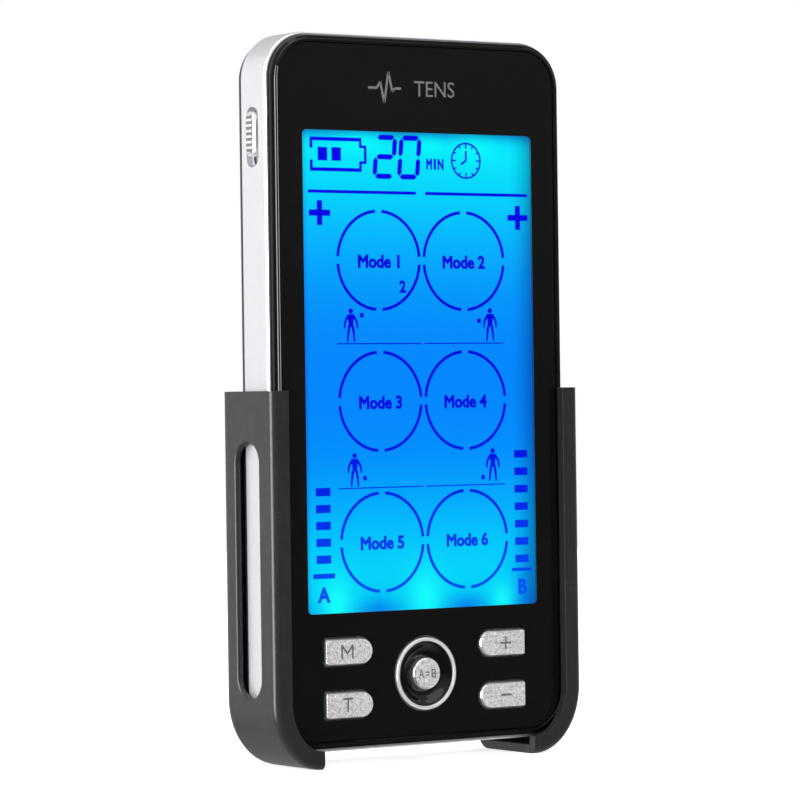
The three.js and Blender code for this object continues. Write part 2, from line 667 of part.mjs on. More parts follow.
function swivelScrew() {
  const [headFront, headBack] = [CLIP_BASE.back + 1.1, CLIP_BASE.back + 2.5];
  return cut(
    turned([
      [0, HUB.holeFront + GAP],
      [HUB.hole - GAP, HUB.holeFront + GAP],
      [HUB.hole - GAP, headFront],
      [3.2, headFront],
      [3.2, headBack - 0.4],
      [2.8, headBack],
      [0, headBack],
    ], 0, HUB.z, 24),
    block(-2, 2, headBack - 0.6, headBack + 1, HUB.z - 0.3, HUB.z + 0.3),
    block(-0.3, 0.3, headBack - 0.6, headBack + 1, HUB.z - 2, HUB.z + 2),
  );
}

const washerFront = CLIP_BASE.back + GAP;
const swivelWasher = cut(
  rod(4.6, 0, HUB.z, washerFront, washerFront + 0.5, 28),
  rod(HUB.hole, 0, HUB.z, washerFront - 1, washerFront + 2, 20),
);

addNode("clip_base", clipBase(), 0x242528, 0.55);
addNode("clip_lever", clipLever(), 0x26272a, 0.5);
addNode("clip_pin", rodAlongX(
  PIVOT.pin, PIVOT.y, PIVOT.z, -PIVOT.pinHalfLength, PIVOT.pinHalfLength,
), STEEL, 0.3, 1);
addNode("clip_spring", clipSpring(), STEEL, 0.35, 1);
addNode("swivel_screw", swivelScrew(), STEEL, 0.35, 1);
addNode("swivel_washer", swivelWasher, STEEL, 0.35, 1);

const group = new THREE.Group();
group.add(object);
export default group;
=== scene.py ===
# %% [markdown]
# # A TENS unit in its belt holster
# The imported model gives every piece's place and the bodies that move. This file puts finer
# surfaces over the pieces that show, and gives each one a finish. All sizes below are in
# millimetres, as a maker would measure them: x to the right, y from the case's front face
# towards its back, z up from the lower edge of the front bezel.

import json

import bmesh
import bpy
import numpy as np
from mathutils import Matrix, Vector


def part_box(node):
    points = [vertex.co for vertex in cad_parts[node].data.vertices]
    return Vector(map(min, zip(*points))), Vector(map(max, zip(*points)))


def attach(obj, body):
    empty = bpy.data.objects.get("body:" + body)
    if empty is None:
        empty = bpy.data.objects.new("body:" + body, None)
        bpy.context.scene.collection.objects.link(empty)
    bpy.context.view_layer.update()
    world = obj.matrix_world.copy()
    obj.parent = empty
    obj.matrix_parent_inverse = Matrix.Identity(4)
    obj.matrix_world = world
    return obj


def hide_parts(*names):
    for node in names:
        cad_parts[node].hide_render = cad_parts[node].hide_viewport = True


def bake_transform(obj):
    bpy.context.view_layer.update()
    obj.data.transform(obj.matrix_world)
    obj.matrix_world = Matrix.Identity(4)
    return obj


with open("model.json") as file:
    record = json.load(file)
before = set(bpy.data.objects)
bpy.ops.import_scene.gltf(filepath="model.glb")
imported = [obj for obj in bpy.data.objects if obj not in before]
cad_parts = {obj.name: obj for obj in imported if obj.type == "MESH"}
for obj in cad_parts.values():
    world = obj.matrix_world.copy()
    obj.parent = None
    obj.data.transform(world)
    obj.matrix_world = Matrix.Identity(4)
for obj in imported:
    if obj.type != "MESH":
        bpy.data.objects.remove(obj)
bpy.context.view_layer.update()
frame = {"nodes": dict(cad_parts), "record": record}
bezel_low, bezel_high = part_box("front_bezel")
MM = 0.001
ORIGIN = np.array([0.0, bezel_low.y, bezel_low.z])
CASE_HEIGHT = round((bezel_high.z - bezel_low.z) / MM, 2)
print("pieces in the frame:", len(frame["nodes"]), "bezel height", CASE_HEIGHT)

# %% [markdown]
# The camera stands low and to the left, a long way off with a long lens, so that the case
# looks nearly free of perspective. It leans a little, which a roll about its own axis gives.

# %% Camera
CAMERA_PLACE = Vector((-0.38057, -0.56487, 0.06346))
CAMERA_TARGET = Vector((-0.004703, -0.013, 0.06247))
CAMERA_ROLL = np.radians(-0.770)

camera_data = bpy.data.cameras.new("studio_camera")
camera_data.lens = 174.54
camera_data.sensor_width = 36.0
camera_data.dof.use_dof = False
camera = bpy.data.objects.new("studio_camera", camera_data)
bpy.context.scene.collection.objects.link(camera)
look = (CAMERA_TARGET - CAMERA_PLACE).normalized()
right = look.cross(Vector((0, 0, 1))).normalized()
up = right.cross(look)
rolled_right = right * np.cos(CAMERA_ROLL) + up * np.sin(CAMERA_ROLL)
rolled_up = up * np.cos(CAMERA_ROLL) - right * np.sin(CAMERA_ROLL)
turn = Matrix((rolled_right, rolled_up, -look)).transposed().to_4x4()
camera.matrix_world = Matrix.Translation(CAMERA_PLACE) @ turn
bpy.context.scene.camera = camera
bpy.context.scene.view_settings.view_transform = "Standard"
print("camera", round((CAMERA_PLACE - CAMERA_TARGET).length, 3), "m from its target")

# %% [markdown]
# ## Helpers for surfaces
# Nearly every moulded piece here is one outline carried through a small profile: at each
# step the outline moves inwards by an inset and stands at a depth. That one rule makes
# plates, rings, keys and the holster's shell, with round edges where the profile is round.

# %% Outlines
ARC_STEPS = 20


def arc(middle, radius, start, stop, steps=ARC_STEPS):
    """Points middle + radius * (cos t, sin t), t in degrees from start to stop, and (cos t, sin t)."""
    t = np.radians(np.linspace(start, stop, steps + 1))
    way = np.stack([np.cos(t), np.sin(t)], 1)
    return np.array(middle) + np.array(radius) * way, way


def rounded_rect(width, height, corner, middle=(0.0, 0.0)):
    """Outline and outward directions of a rectangle whose corners are quarter circles."""
    x, z = width / 2 - corner, height / 2 - corner
    quarters = [((x, -z), -90), ((x, z), 0), ((-x, z), 90), ((-x, -z), 180)]
    parts = [arc(np.array(m) + middle, corner, a, a + 90) for m, a in quarters]
    return np.concatenate([p for p, _ in parts]), np.concatenate([n for _, n in parts])


def circle(radius, middle=(0.0, 0.0), steps=96):
    """Outline and outward directions of a circle, without the doubled last point."""
    points, way = arc(middle, radius, 0, 360, steps)
    return points[:-1], way[:-1]


print("outline of the bezel has", len(rounded_rect(60, CASE_HEIGHT, 7.5)[0]), "points")

# %% Grids into meshes
FRONT = "front"  # outline in x and z, carried along y
SIDE = "side"  # outline in y and z, carried along x
TOP = "top"  # outline in x and y, carried along z
AXES = {FRONT: (0, 2, 1), SIDE: (1, 2, 0), TOP: (0, 1, 2)}


def new_piece(name, points, faces, smooth_below=34.0, merged=True):
    """A mesh object from points in millimetres; edges sharper than smooth_below degrees stay sharp."""
    mesh = bpy.data.meshes.new(name)
    mesh.from_pydata(np.asarray(points) * MM + ORIGIN, [], faces)
    mesh.validate()
    clean_up(mesh, merged)
    shade(mesh, smooth_below)
    piece = bpy.data.objects.new(name, mesh)
    bpy.context.scene.collection.objects.link(piece)
    return piece


def clean_up(mesh, merged):
    """Merges doubled points, if asked, and turns every face outwards."""
    work = bmesh.new()
    work.from_mesh(mesh)
    if merged:
        bmesh.ops.remove_doubles(work, verts=work.verts, dist=1e-7)
        bmesh.ops.dissolve_degenerate(work, edges=work.edges, dist=1e-7)
    bmesh.ops.recalc_face_normals(work, faces=work.faces)
    work.to_mesh(mesh)
    work.free()


def shade(mesh, smooth_below):
    mesh.polygons.foreach_set("use_smooth", np.ones(len(mesh.polygons), bool))
    mesh.set_sharp_from_angle(angle=np.radians(smooth_below))
    mesh.update()


def carried(outline, profile, plane=FRONT):
    """Grid points: row i is the outline moved inwards by profile[i][0] and set at depth profile[i][1]."""
    points, way = outline
    inset = np.array([p[0] for p in profile])[:, None, None]
    depth = np.array([p[1] for p in profile])[:, None] * np.ones(len(points))
    flat = points[None] - inset * way[None]
    grid = np.zeros((len(profile), len(points), 3))
    a, b, c = AXES[plane]
    grid[..., a], grid[..., b], grid[..., c] = flat[..., 0], flat[..., 1], depth
    return grid


def grid_faces(rows, columns, ring=False, first=0):
    """Quads between neighbouring rows of a grid whose columns close; ring closes the rows too."""
    i = np.arange(rows if ring else rows - 1)[:, None]
    j = np.arange(columns)[None]
    k, m = (i + 1) % rows, (j + 1) % columns
    quads = np.stack([i * columns + j, i * columns + m, k * columns + m, k * columns + j], -1)
    return (quads.reshape(-1, 4) + first).tolist()


def slab(name, outline, profile, plane=FRONT):
    """A closed plate: the carried grid with its first and last row filled flat."""
    grid = carried(outline, profile, plane)
    rows, columns = grid.shape[:2]
    faces = grid_faces(rows, columns)
    faces += [list(range(columns)), list(range((rows - 1) * columns, rows * columns))]
    return new_piece(name, grid.reshape(-1, 3), faces)


def ring(name, outline, profile, plane=FRONT):
    """A closed ring: the carried grid whose last row joins its first."""
    grid = carried(outline, profile, plane)
    rows, columns = grid.shape[:2]
    return new_piece(name, grid.reshape(-1, 3), grid_faces(rows, columns, ring=True))


def round_edge(inset, depth, radius, start, stop, steps=6):
    """Profile points of a quarter round of this radius about (inset, depth), t from start to stop."""
    t = np.radians(np.linspace(start, stop, steps + 1))
    return list(zip(inset - radius * np.cos(t), depth - radius * np.sin(t)))


def soft_slab(name, outline, front, back, front_round, back_round, plane=FRONT, steps=6):
    """A plate from depth front to back whose two edges are quarter rounds."""
    profile = round_edge(front_round, front + front_round, front_round, 90, 0, steps)
    profile += round_edge(back_round, back - back_round, back_round, 0, -90, steps)
    return slab(name, outline, profile, plane)


def turned(name, profile, middle, plane=FRONT, steps=96):
    """A profile of (radius, depth) points turned about the depth axis through middle."""
    points, way = circle(1.0, middle, steps)
    as_inset = [(1.0 - radius, depth) for radius, depth in profile]
    closed = profile[0] == profile[-1]
    maker = ring if closed else slab
    return maker(name, (points, way), as_inset[:-1] if closed else as_inset, plane)


print("surface helpers ready")

# %% [markdown]
# Holes, slots and joined bosses are cut with a Boolean modifier, which is then applied, so
# that the finished piece is a plain closed mesh. A narrow bevel on the edges that are left
# catches the light as a moulded edge does.

# %% Cutting, joining and softening
def applied(piece, smooth_below=34.0):
    """Bakes the piece's modifiers into its mesh and, unless told not to, shades it again."""
    graph = bpy.context.evaluated_depsgraph_get()
    done = bpy.data.meshes.new_from_object(piece.evaluated_get(graph))
    piece.modifiers.clear()
    piece.data = done
    done.name = piece.name
    if smooth_below:
        shade(done, smooth_below)
    return piece


def evened(piece):
    """Weights each corner's normal by face area, so large flats stay flat beside narrow bevels."""
    even = piece.modifiers.new("even", "WEIGHTED_NORMAL")
    even.mode = "FACE_AREA"
    even.weight = 100
    even.keep_sharp = True
    return applied(piece, None)


def combine(piece, tools, operation):
    """Cuts or joins each tool with an exact Boolean, then removes the tools."""
    for tool in tools:
        step = piece.modifiers.new("step", "BOOLEAN")
        step.operation = operation
        step.solver = "EXACT"
        step.object = tool
        applied(piece)
        bpy.data.objects.remove(tool)
    return piece


def cut(piece, *tools):
    return combine(piece, tools, "DIFFERENCE")


def joined(piece, *tools):
    return combine(piece, tools, "UNION")


def softened(piece, width, segments=2, angle=38.0):
    """Bevels the edges sharper than angle by width millimetres."""
    bevel = piece.modifiers.new("edge", "BEVEL")
    bevel.width = width * MM
    bevel.segments = segments
    bevel.limit_method = "ANGLE"
    bevel.angle_limit = np.radians(angle)
    bevel.use_clamp_overlap = True
    bevel.harden_normals = False
    return applied(piece, 50.0)


def placed(piece, body, slot, material, *nodes):
    """Gives a finished piece its material and its body, and hides the CAD nodes it stands for; the slot is
    not used.
    """
    evened(piece)
    piece.data.materials.clear()
    piece.data.materials.append(material)
    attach(piece, body)
    if nodes:
        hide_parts(*nodes)
    print(piece.name, len(piece.data.polygons), "faces on", body)
    return piece


def box_tool(low, high):
    """A plain block used only as a cutting tool."""
    corners = np.array([[x, y, z] for x in (0, 1) for y in (0, 1) for z in (0, 1)], float)
    points = np.array(low) + corners * (np.array(high) - np.array(low))
    faces = [[0, 1, 3, 2], [4, 6, 7, 5], [0, 4, 5, 1], [2, 3, 7, 6], [0, 2, 6, 4], [1, 5, 7, 3]]
    return new_piece("tool", points, faces)


def rod_tool(radius, middle, low, high, plane=FRONT, steps=48):
    return slab("tool", circle(radius, middle, steps), [(0, low), (0, high)], plane)


# %% [markdown]
# ## Finishes
# Three effects are shared by most of the finishes, so each is built once as a node group:
# a fine grain from blasting or spark erosion, wear that lightens and smooths the surface in
# patches, and dust that settles on faces that look up. Each group puts out plain values.

# %% Shared effects
def group_with(name, inputs, outputs):
    """An empty shader node group with these float inputs (name, default) and outputs."""
    group = bpy.data.node_groups.new(name, "ShaderNodeTree")
    for label, default in inputs:
        socket = group.interface.new_socket(label, in_out="INPUT", socket_type="NodeSocketFloat")
        socket.default_value = default
    for label in outputs:
        group.interface.new_socket(label, in_out="OUTPUT", socket_type="NodeSocketFloat")
    enter = group.nodes.new("NodeGroupInput")
    leave = group.nodes.new("NodeGroupOutput")
    place = group.nodes.new("ShaderNodeTexCoord")
    return group, enter, leave, place


def wire(tree, *pairs):
    for source, target in pairs:
        tree.links.new(source, target)


def math_node(tree, operation, a, b=None):
    """A Math node fed by sockets or plain numbers; gives back its output."""
    node = tree.nodes.new("ShaderNodeMath")
    node.operation = operation
    for socket, value in zip(node.inputs, (a, b)):
        if isinstance(value, bpy.types.NodeSocket):
            tree.links.new(value, socket)
        elif value is not None:
            socket.default_value = value
    return node.outputs[0]


def noise(tree, place, scale, detail=3.0, rough=0.5):
    """Noise on Object coordinates; scale is a number or a socket."""
    node = tree.nodes.new("ShaderNodeTexNoise")
    node.inputs["Detail"].default_value = detail
    node.inputs["Roughness"].default_value = rough
    if isinstance(scale, bpy.types.NodeSocket):
        tree.links.new(scale, node.inputs["Scale"])
    else:
        node.inputs["Scale"].default_value = scale
    tree.links.new(place.outputs["Object"], node.inputs["Vector"])
    return node.outputs[0]


grain, enter, leave, place = group_with(
    "moulded_grain", [("Scale", 4000.0), ("Amount", 0.2)], ["Height", "Shade"]
)
fine = noise(grain, place, enter.outputs["Scale"], 2.0)
coarse = noise(grain, place, math_node(grain, "MULTIPLY", enter.outputs["Scale"], 0.37), 1.0)
both = math_node(grain, "ADD", math_node(grain, "MULTIPLY", fine, 0.65),
                 math_node(grain, "MULTIPLY", coarse, 0.35))
centred = math_node(grain, "SUBTRACT", both, 0.5)
shade_by = math_node(grain, "MULTIPLY", centred, enter.outputs["Amount"])
wire(grain, (both, leave.inputs["Height"]),
     (math_node(grain, "ADD", shade_by, 1.0), leave.inputs["Shade"]))

wear, enter, leave, place = group_with(
    "handled_wear", [("Scale", 60.0), ("Amount", 0.3)], ["Mask"]
)
patches = noise(wear, place, enter.outputs["Scale"], 5.0, 0.62)
scuffs = noise(wear, place, math_node(wear, "MULTIPLY", enter.outputs["Scale"], 9.0), 2.0, 0.7)
mixed = math_node(wear, "MULTIPLY", patches, scuffs)
raised = math_node(wear, "SUBTRACT", mixed, 0.22)
wire(wear, (math_node(wear, "MULTIPLY", math_node(wear, "MAXIMUM", raised, 0.0),
                      math_node(wear, "MULTIPLY", enter.outputs["Amount"], 6.0)),
            leave.inputs["Mask"]))

dust, enter, leave, place = group_with("settled_dust", [("Amount", 0.3)], ["Mask"])
surface = dust.nodes.new("ShaderNodeNewGeometry")
axes = dust.nodes.new("ShaderNodeSeparateXYZ")
wire(dust, (surface.outputs["Normal"], axes.inputs[0]))
facing_up = math_node(dust, "POWER", math_node(dust, "MAXIMUM", axes.outputs["Z"], 0.0), 2.0)
specks = math_node(dust, "POWER", noise(dust, place, 900.0, 4.0, 0.7), 3.0)
wire(dust, (math_node(dust, "MULTIPLY", math_node(dust, "MULTIPLY", facing_up, specks),
                      enter.outputs["Amount"]), leave.inputs["Mask"]))
print("shared effects:", [g.name for g in bpy.data.node_groups])

# %% [markdown]
# Every finish then follows one recipe: a base colour shaded by the grain, lightened where
# it is worn or dusty, a roughness that follows the same masks, and a bump from the grain.
# The numbers differ: silver paint has a fine bright grain, the holster a coarse matte one.

# %% The recipe for a finish
COAT_ROUGH, WEAR_ROUGH, DUST_ROUGH = 0.05, -0.1, 0.6
DUST_COLOUR = (0.45, 0.43, 0.4)


def group_node(tree, group, **values):
    node = tree.nodes.new("ShaderNodeGroup")
    node.node_tree = group
    for label, value in values.items():
        node.inputs[label].default_value = value
    return node


def laid_over(tree, base, mask, colour, blend="MIX"):
    """Mixes a plain linear colour over base by the mask."""
    layer = tree.nodes.new("ShaderNodeMix")
    layer.data_type = "RGBA"
    layer.blend_type = blend
    layer.inputs["B"].default_value = (*colour, 1.0)
    wire(tree, (mask, layer.inputs["Factor"]), (base, layer.inputs["A"]))
    return layer.outputs["Result"]


def finish(name, colour, rough, metal=0.0, grain_scale=4000.0, grain_shade=0.2, bump=0.05,
           wear_amount=0.15, dust_amount=0.15, coat=0.0, specular=0.5):
    """A Principled material: colour, grain, wear and dust as described above."""
    material = bpy.data.materials.new(name)
    material.use_nodes = True
    tree = material.node_tree
    shader = tree.nodes["Principled BSDF"]
    shader.inputs["Metallic"].default_value = metal
    shader.inputs["Coat Weight"].default_value = coat
    shader.inputs["Coat Roughness"].default_value = COAT_ROUGH
    shader.inputs["Specular IOR Level"].default_value = specular
    grained = group_node(tree, grain, Scale=grain_scale, Amount=grain_shade)
    worn = group_node(tree, wear, Amount=wear_amount)
    dusty = group_node(tree, dust, Amount=dust_amount)
    shaded = tree.nodes.new("ShaderNodeMix")
    shaded.data_type = "RGBA"
    shaded.blend_type = "MULTIPLY"
    shaded.inputs["Factor"].default_value = 1.0
    shaded.inputs["A"].default_value = (*colour, 1.0)
    as_colour = tree.nodes.new("ShaderNodeCombineColor")
    for socket in as_colour.inputs[:3]:
        tree.links.new(grained.outputs["Shade"], socket)
    tree.links.new(as_colour.outputs[0], shaded.inputs["B"])
    lighter = tuple(min(1.0, c * 1.6 + 0.02) for c in colour)
    base = shaded.outputs["Result"]
    for mask, tint in ((worn.outputs[0], lighter), (dusty.outputs[0], DUST_COLOUR)):
        base = laid_over(tree, base, mask, tint)
    tree.links.new(base, shader.inputs["Base Color"])
    by_wear = math_node(tree, "MULTIPLY", worn.outputs[0], WEAR_ROUGH)
    by_dust = math_node(tree, "MULTIPLY", dusty.outputs[0], DUST_ROUGH)
    by_grain = math_node(tree, "MULTIPLY", grained.outputs["Shade"], rough)
    total = math_node(tree, "ADD", math_node(tree, "ADD", by_grain, by_wear), by_dust)
    tree.links.new(math_node(tree, "MAXIMUM", total, 0.02), shader.inputs["Roughness"])
    relief = tree.nodes.new("ShaderNodeBump")
    relief.inputs["Strength"].default_value = bump
    relief.inputs["Distance"].default_value = 0.02 * MM
    wire(tree, (grained.outputs["Height"], relief.inputs["Height"]),
         (relief.outputs["Normal"], shader.inputs["Normal"]))
    return material


# %% The finishes
gloss_black = finish("piano_black", (0.0035, 0.0035, 0.0038), 0.05, grain_scale=900,
                     grain_shade=0.25, bump=0.01, wear_amount=0.05, dust_amount=0.05)
satin_silver = finish("satin_silver", (0.74, 0.74, 0.77), 0.30, 0.75, grain_scale=5200,
                      grain_shade=0.10, bump=0.10, wear_amount=0.06, dust_amount=0.05)
matte_black = finish("spark_eroded_black", (0.014, 0.014, 0.016), 0.42, grain_scale=3600,
                     grain_shade=0.35, bump=0.35)
blasted_silver = finish("blasted_silver", (0.72, 0.70, 0.69), 0.45, 0.35, grain_scale=4200,
                        grain_shade=2.4, bump=0.9, wear_amount=0.1, dust_amount=0.05)
bright_edge = finish("polished_silver", (0.86, 0.86, 0.87), 0.14, 0.9, grain_scale=2500,
                     grain_shade=0.1, bump=0.02, wear_amount=0.05)
chrome = finish("polished_plate", (0.78, 0.78, 0.79), 0.14, 0.35, grain_scale=1500,
                grain_shade=0.08, bump=0.01, wear_amount=0.04)
slide_silver = finish("slide_silver", (0.90, 0.90, 0.92), 0.20, 0.80, grain_scale=3000,
                      grain_shade=0.15, bump=0.1)
# Painted shade: a dark finish for the floors of cut letters and the slide's grooves, for the shade inside
# them.
cut_floor_shade = finish("painted_shade_in_cuts", (0.18, 0.175, 0.175), 0.55, 0.4, grain_scale=3400,
                  grain_shade=0.6, bump=0.4)
holster_plastic = finish("holster_plastic", (0.019, 0.0183, 0.0205), 0.31, specular=0.5, grain_scale=4200,
                         grain_shade=0.45, bump=0.45, wear_amount=0.18, dust_amount=0.25)
clip_plastic = finish("clip_plastic", (0.024, 0.024, 0.027), 0.46, grain_scale=3800,
                      grain_shade=0.4, bump=0.4, wear_amount=0.2, dust_amount=0.2)
steel = finish("zinc_plate", (0.60, 0.61, 0.63), 0.26, 1.0, grain_scale=2600,
               grain_shade=0.3, bump=0.12, wear_amount=0.2)
switch_black = finish("moulded_black", (0.02, 0.02, 0.022), 0.5, grain_scale=3000,
                      grain_shade=0.4, bump=0.2)
diffuser = finish("light_guide", (0.80, 0.87, 0.92), 0.35, grain_scale=900, grain_shade=0.08)
board_green = finish("solder_mask", (0.02, 0.12, 0.05), 0.3, grain_scale=700,
                     grain_shade=0.5, coat=0.4)
cell_foil = finish("pouch_foil", (0.55, 0.56, 0.58), 0.3, 0.9, grain_scale=500,
                   grain_shade=0.5, bump=0.4)
winding = finish("winding_tape", (0.60, 0.40, 0.06), 0.4, grain_scale=1200, grain_shade=0.3)
print("finishes:", len(bpy.data.materials))

# %% [markdown]
# ## The pieces that stay as the CAD made them
# Boards, cells, jacks and screws have the right shape already, so they keep their meshes and
# only get a finish. Each node's material slots are filled, since its mesh has one per solid.

# %% Finishes for carried-over pieces
KEPT = {
    "screw_steel": steel, "switch_black": switch_black, "diffuser_white": diffuser,
    "board_green": board_green, "cell_foil": cell_foil, "winding_yellow": winding,
    "jack_black": switch_black, "port_steel": steel, "lcd_glow": diffuser,
    "gloss_black": gloss_black, "silver_frame": satin_silver, "rear_black": matte_black,
    "key_silver": blasted_silver, "polished_ring": chrome, "holster_plastic": holster_plastic,
    "clip_plastic": clip_plastic, "clear_window": diffuser,
}
for part in frame["record"]["subparts"]:
    node = frame["nodes"][part["node"]]
    if not node.material_slots:
        node.data.materials.append(KEPT[part["material_slot"]])
    for holder in node.material_slots:
        holder.material = KEPT[part["material_slot"]]

# %% [markdown]
# ## The case
# Three shells are stacked from front to back: a thin gloss bezel with two fine beads on its
# front, a satin silver band that is 0.6 mm wider all round and has a bright facet at its
# front edge, and a dark rear cover that curves away. Each is a rounded rectangle carried
# through its own profile, so the corners stay true quarter circles.

# %% Front bezel
CASE_MIDDLE = (0.0, CASE_HEIGHT / 2)
BEZEL_WIDTH, BEZEL_CORNER, RIM = 60.0, 7.5, 1.12
bezel_outline = rounded_rect(BEZEL_WIDTH, CASE_HEIGHT, BEZEL_CORNER, CASE_MIDDLE)
bezel_profile = [(0.0, 0.62), (0.02, 0.52), (0.08, 0.26), (0.14, 0.22), (0.58, 0.20), (0.61, 0.18),
                 (0.70, 0.01), (0.74, 0.0), (0.94, 0.0), (0.98, 0.03), (1.05, -0.1), (RIM - 0.04, -0.1),
                 (RIM, -0.05), (RIM, 1.2), (3.0, 1.2), (3.0, 1.64), (0.0, 1.64)]
placed(ring("bezel", bezel_outline, bezel_profile), "unit", "gloss_black", gloss_black,
       "front_bezel")

# %% Silver band
FRAME_LIP, BAND_FRONT, BAND_BACK, BAND_WALL = 0.6, 1.66, 8.9, 1.6
band_outline = rounded_rect(BEZEL_WIDTH + 2 * FRAME_LIP, CASE_HEIGHT + 2 * FRAME_LIP,
                            BEZEL_CORNER + FRAME_LIP, CASE_MIDDLE)
band_profile = [(1.0, BAND_FRONT), (0.57, BAND_FRONT), (0.57, 1.25), (0.27, 1.25), (0.23, 1.28)]
band_profile += [(0.03, 1.68), (0.0, 1.78), (0.0, BAND_BACK - 0.1)]
band_profile += [(0.1, BAND_BACK), (BAND_WALL, BAND_BACK), (BAND_WALL, BAND_FRONT)]
band = ring("silver_band", band_outline, band_profile)

SWITCH_Y, SLIDE_Z = 5.5, 104.6
slot_outline = rounded_rect(4.0, 10.2, 1.9, (SWITCH_Y, 104.1))
slot_tool = slab("tool", slot_outline, [(0, -34.0), (0, -28.0)], SIDE)
jack_tools = [rod_tool(2.0, (x, 6.6), 117.0, 125.0, TOP) for x in (-10.0, 10.0)]
port_outline = rounded_rect(8.4, 3.6, 1.2, (0.0, 5.5))
port_tool = slab("tool", port_outline, [(0, -4.0), (0, 2.0)], TOP)
cut(band, slot_tool, *jack_tools, port_tool)
softened(band, 0.05)
placed(band, "unit", "silver_frame", satin_silver, "mid_frame")

# %% [markdown]
# The rear cover's edge is a quarter ellipse, deeper than it is wide, so that from the side
# only a thin dark line of it shows. Its four screws sit in round counterbores.

# %% Rear cover
COVER_CURVE, COVER_START = 3.7, BAND_BACK
t = np.radians(np.linspace(0, 90, 13))
cover_edge = list(zip(0.3 + COVER_CURVE * (1 - np.cos(t)), COVER_START + COVER_CURVE * np.sin(t)))
cover_profile = [(BAND_WALL + 0.5, COVER_START)] + cover_edge
cover = slab("back_cover", band_outline, cover_profile)
SCREW_PLACES = [(x, z) for z in (5.4, CASE_HEIGHT - 5.4) for x in (-25.6, 25.6)]
cut(cover, *[rod_tool(2.0, place, 11.65, 14.0) for place in SCREW_PLACES])
softened(cover, 0.12)
placed(cover, "unit", "rear_black", matte_black, "rear_cover")

# %% [markdown]
# ## The front panel
# One sheet of clear acrylic, printed black behind, lies in the bezel. Its window stays
# clear. The sheet is a plate with a fine chamfer, cut by the window, four key holes and the
# dial's hole; a narrow bevel on all those edges gives the thin lines of light round them.

# %% Key outline
KEY_X, KEY_WIDTH, KEY_HEIGHT, KEY_CORNER = 16.1, 9.7, 4.6, 0.45
KEY_MIDDLE, KEY_PITCH = 11.85, 9.1
KEYS = {
    "mode": (-1, KEY_MIDDLE + KEY_PITCH / 2, "M"), "time": (-1, KEY_MIDDLE - KEY_PITCH / 2, "T"),
    "plus": (1, KEY_MIDDLE + KEY_PITCH / 2, "+"), "minus": (1, KEY_MIDDLE - KEY_PITCH / 2, "-"),
}


def key_outline(side, z, grow=0.0):
    """A half round towards the dial and two small corners outside, as points and directions."""
    reach, half = KEY_WIDTH / 2 + grow, KEY_HEIGHT / 2 + grow
    corner = KEY_CORNER + grow
    parts = [
        arc((reach - half, 0.0), half, -90, 90, 3 * ARC_STEPS),
        arc((corner - reach, half - corner), corner, 90, 180, 8),
        arc((corner - reach, corner - half), corner, 180, 270, 8),
    ]
    points = np.concatenate([p for p, _ in parts])
    way = np.concatenate([n for _, n in parts])
    flip = np.array([-side, 1.0])
    return points * flip + np.array([side * KEY_X, z]), way * flip


print("key outline:", len(key_outline(-1, 16.4)[0]), "points")

# %% Panel sheet
WINDOW_WIDTH, WINDOW_LOW, WINDOW_HIGH = 47.9, 23.0, 105.3
WINDOW_HEIGHT = WINDOW_HIGH - WINDOW_LOW
WINDOW_MIDDLE = (0.0, (WINDOW_HIGH + WINDOW_LOW) / 2)
PANEL_INSET, GAP = 1.2, 0.3
panel_outline = rounded_rect(BEZEL_WIDTH - 2 * PANEL_INSET, CASE_HEIGHT - 2 * PANEL_INSET,
                             BEZEL_CORNER - PANEL_INSET, CASE_MIDDLE)
panel = slab("front_sheet", panel_outline, [(0.17, 0.06), (0.13, 0.07), (0.0, 0.34), (0.0, 0.9)])
window_outline = rounded_rect(WINDOW_WIDTH, WINDOW_HEIGHT, 0.8, WINDOW_MIDDLE)
tools = [slab("tool", window_outline, [(0, -1), (0, 2)])]
tools += [slab("tool", key_outline(side, z, 0.22), [(0, -1), (0, 2)])
          for side, z, _ in KEYS.values()]
tools += [rod_tool(6.55, (0.0, KEY_MIDDLE), -1, 2, steps=128)]
cut(panel, *tools)
softened(panel, 0.05, 2, 60.0)
placed(panel, "unit", "gloss_black", gloss_black, "front_panel")

# %% [markdown]
# ## The display
# Behind the window lies a negative of a display: a bright blue-green field lit from its
# lower edge, and dark blue segments. The field's colour runs from cyan at the top through
# blue to cyan again, with pools of light over the lamps, and darkens at the right edge.
# That darkening, and the darker left and top edges, is painted shade of the window's rim.

# %% Display field
def emission_material(name):
    material = bpy.data.materials.new(name)
    material.use_nodes = True
    tree = material.node_tree
    shader = tree.nodes["Principled BSDF"]
    shader.inputs["Base Color"].default_value = (0.0, 0.002, 0.01, 1.0)
    shader.inputs["Roughness"].default_value = 0.5
    shader.inputs["Specular IOR Level"].default_value = 0.0
    shader.inputs["Emission Strength"].default_value = 1.0
    return material, tree, shader


def linear(red, green, blue):
    """Screen values from 0 to 255 as linear light."""
    c = np.array([red, green, blue]) / 255.0
    return tuple(float(v) for v in np.where(c <= 0.04045, c / 12.92, ((c + 0.055) / 1.055) ** 2.4))


def ramp_by(tree, socket, stops):
    """A colour ramp fed by a value from 0 to 1, with (position, screen colour) stops."""
    ramp = tree.nodes.new("ShaderNodeValToRGB")
    ramp.color_ramp.interpolation = "B_SPLINE"
    while len(ramp.color_ramp.elements) < len(stops):
        ramp.color_ramp.elements.new(0.5)
    for element, (position, colour) in zip(ramp.color_ramp.elements, stops):
        element.position = position
        element.color = (*linear(*colour), 1.0)
    tree.links.new(socket, ramp.inputs[0])
    return ramp.outputs["Color"]


def share_along(tree, value, low, high, at_low=0.0, at_high=1.0):
    """Runs evenly from at_low, where the value is low, to at_high, where it is high."""
    node = tree.nodes.new("ShaderNodeMapRange")
    for label, number in (("From Min", low), ("From Max", high), ("To Min", at_low),
                          ("To Max", at_high)):
        node.inputs[label].default_value = number
    tree.links.new(value, node.inputs["Value"])
    return node.outputs[0]


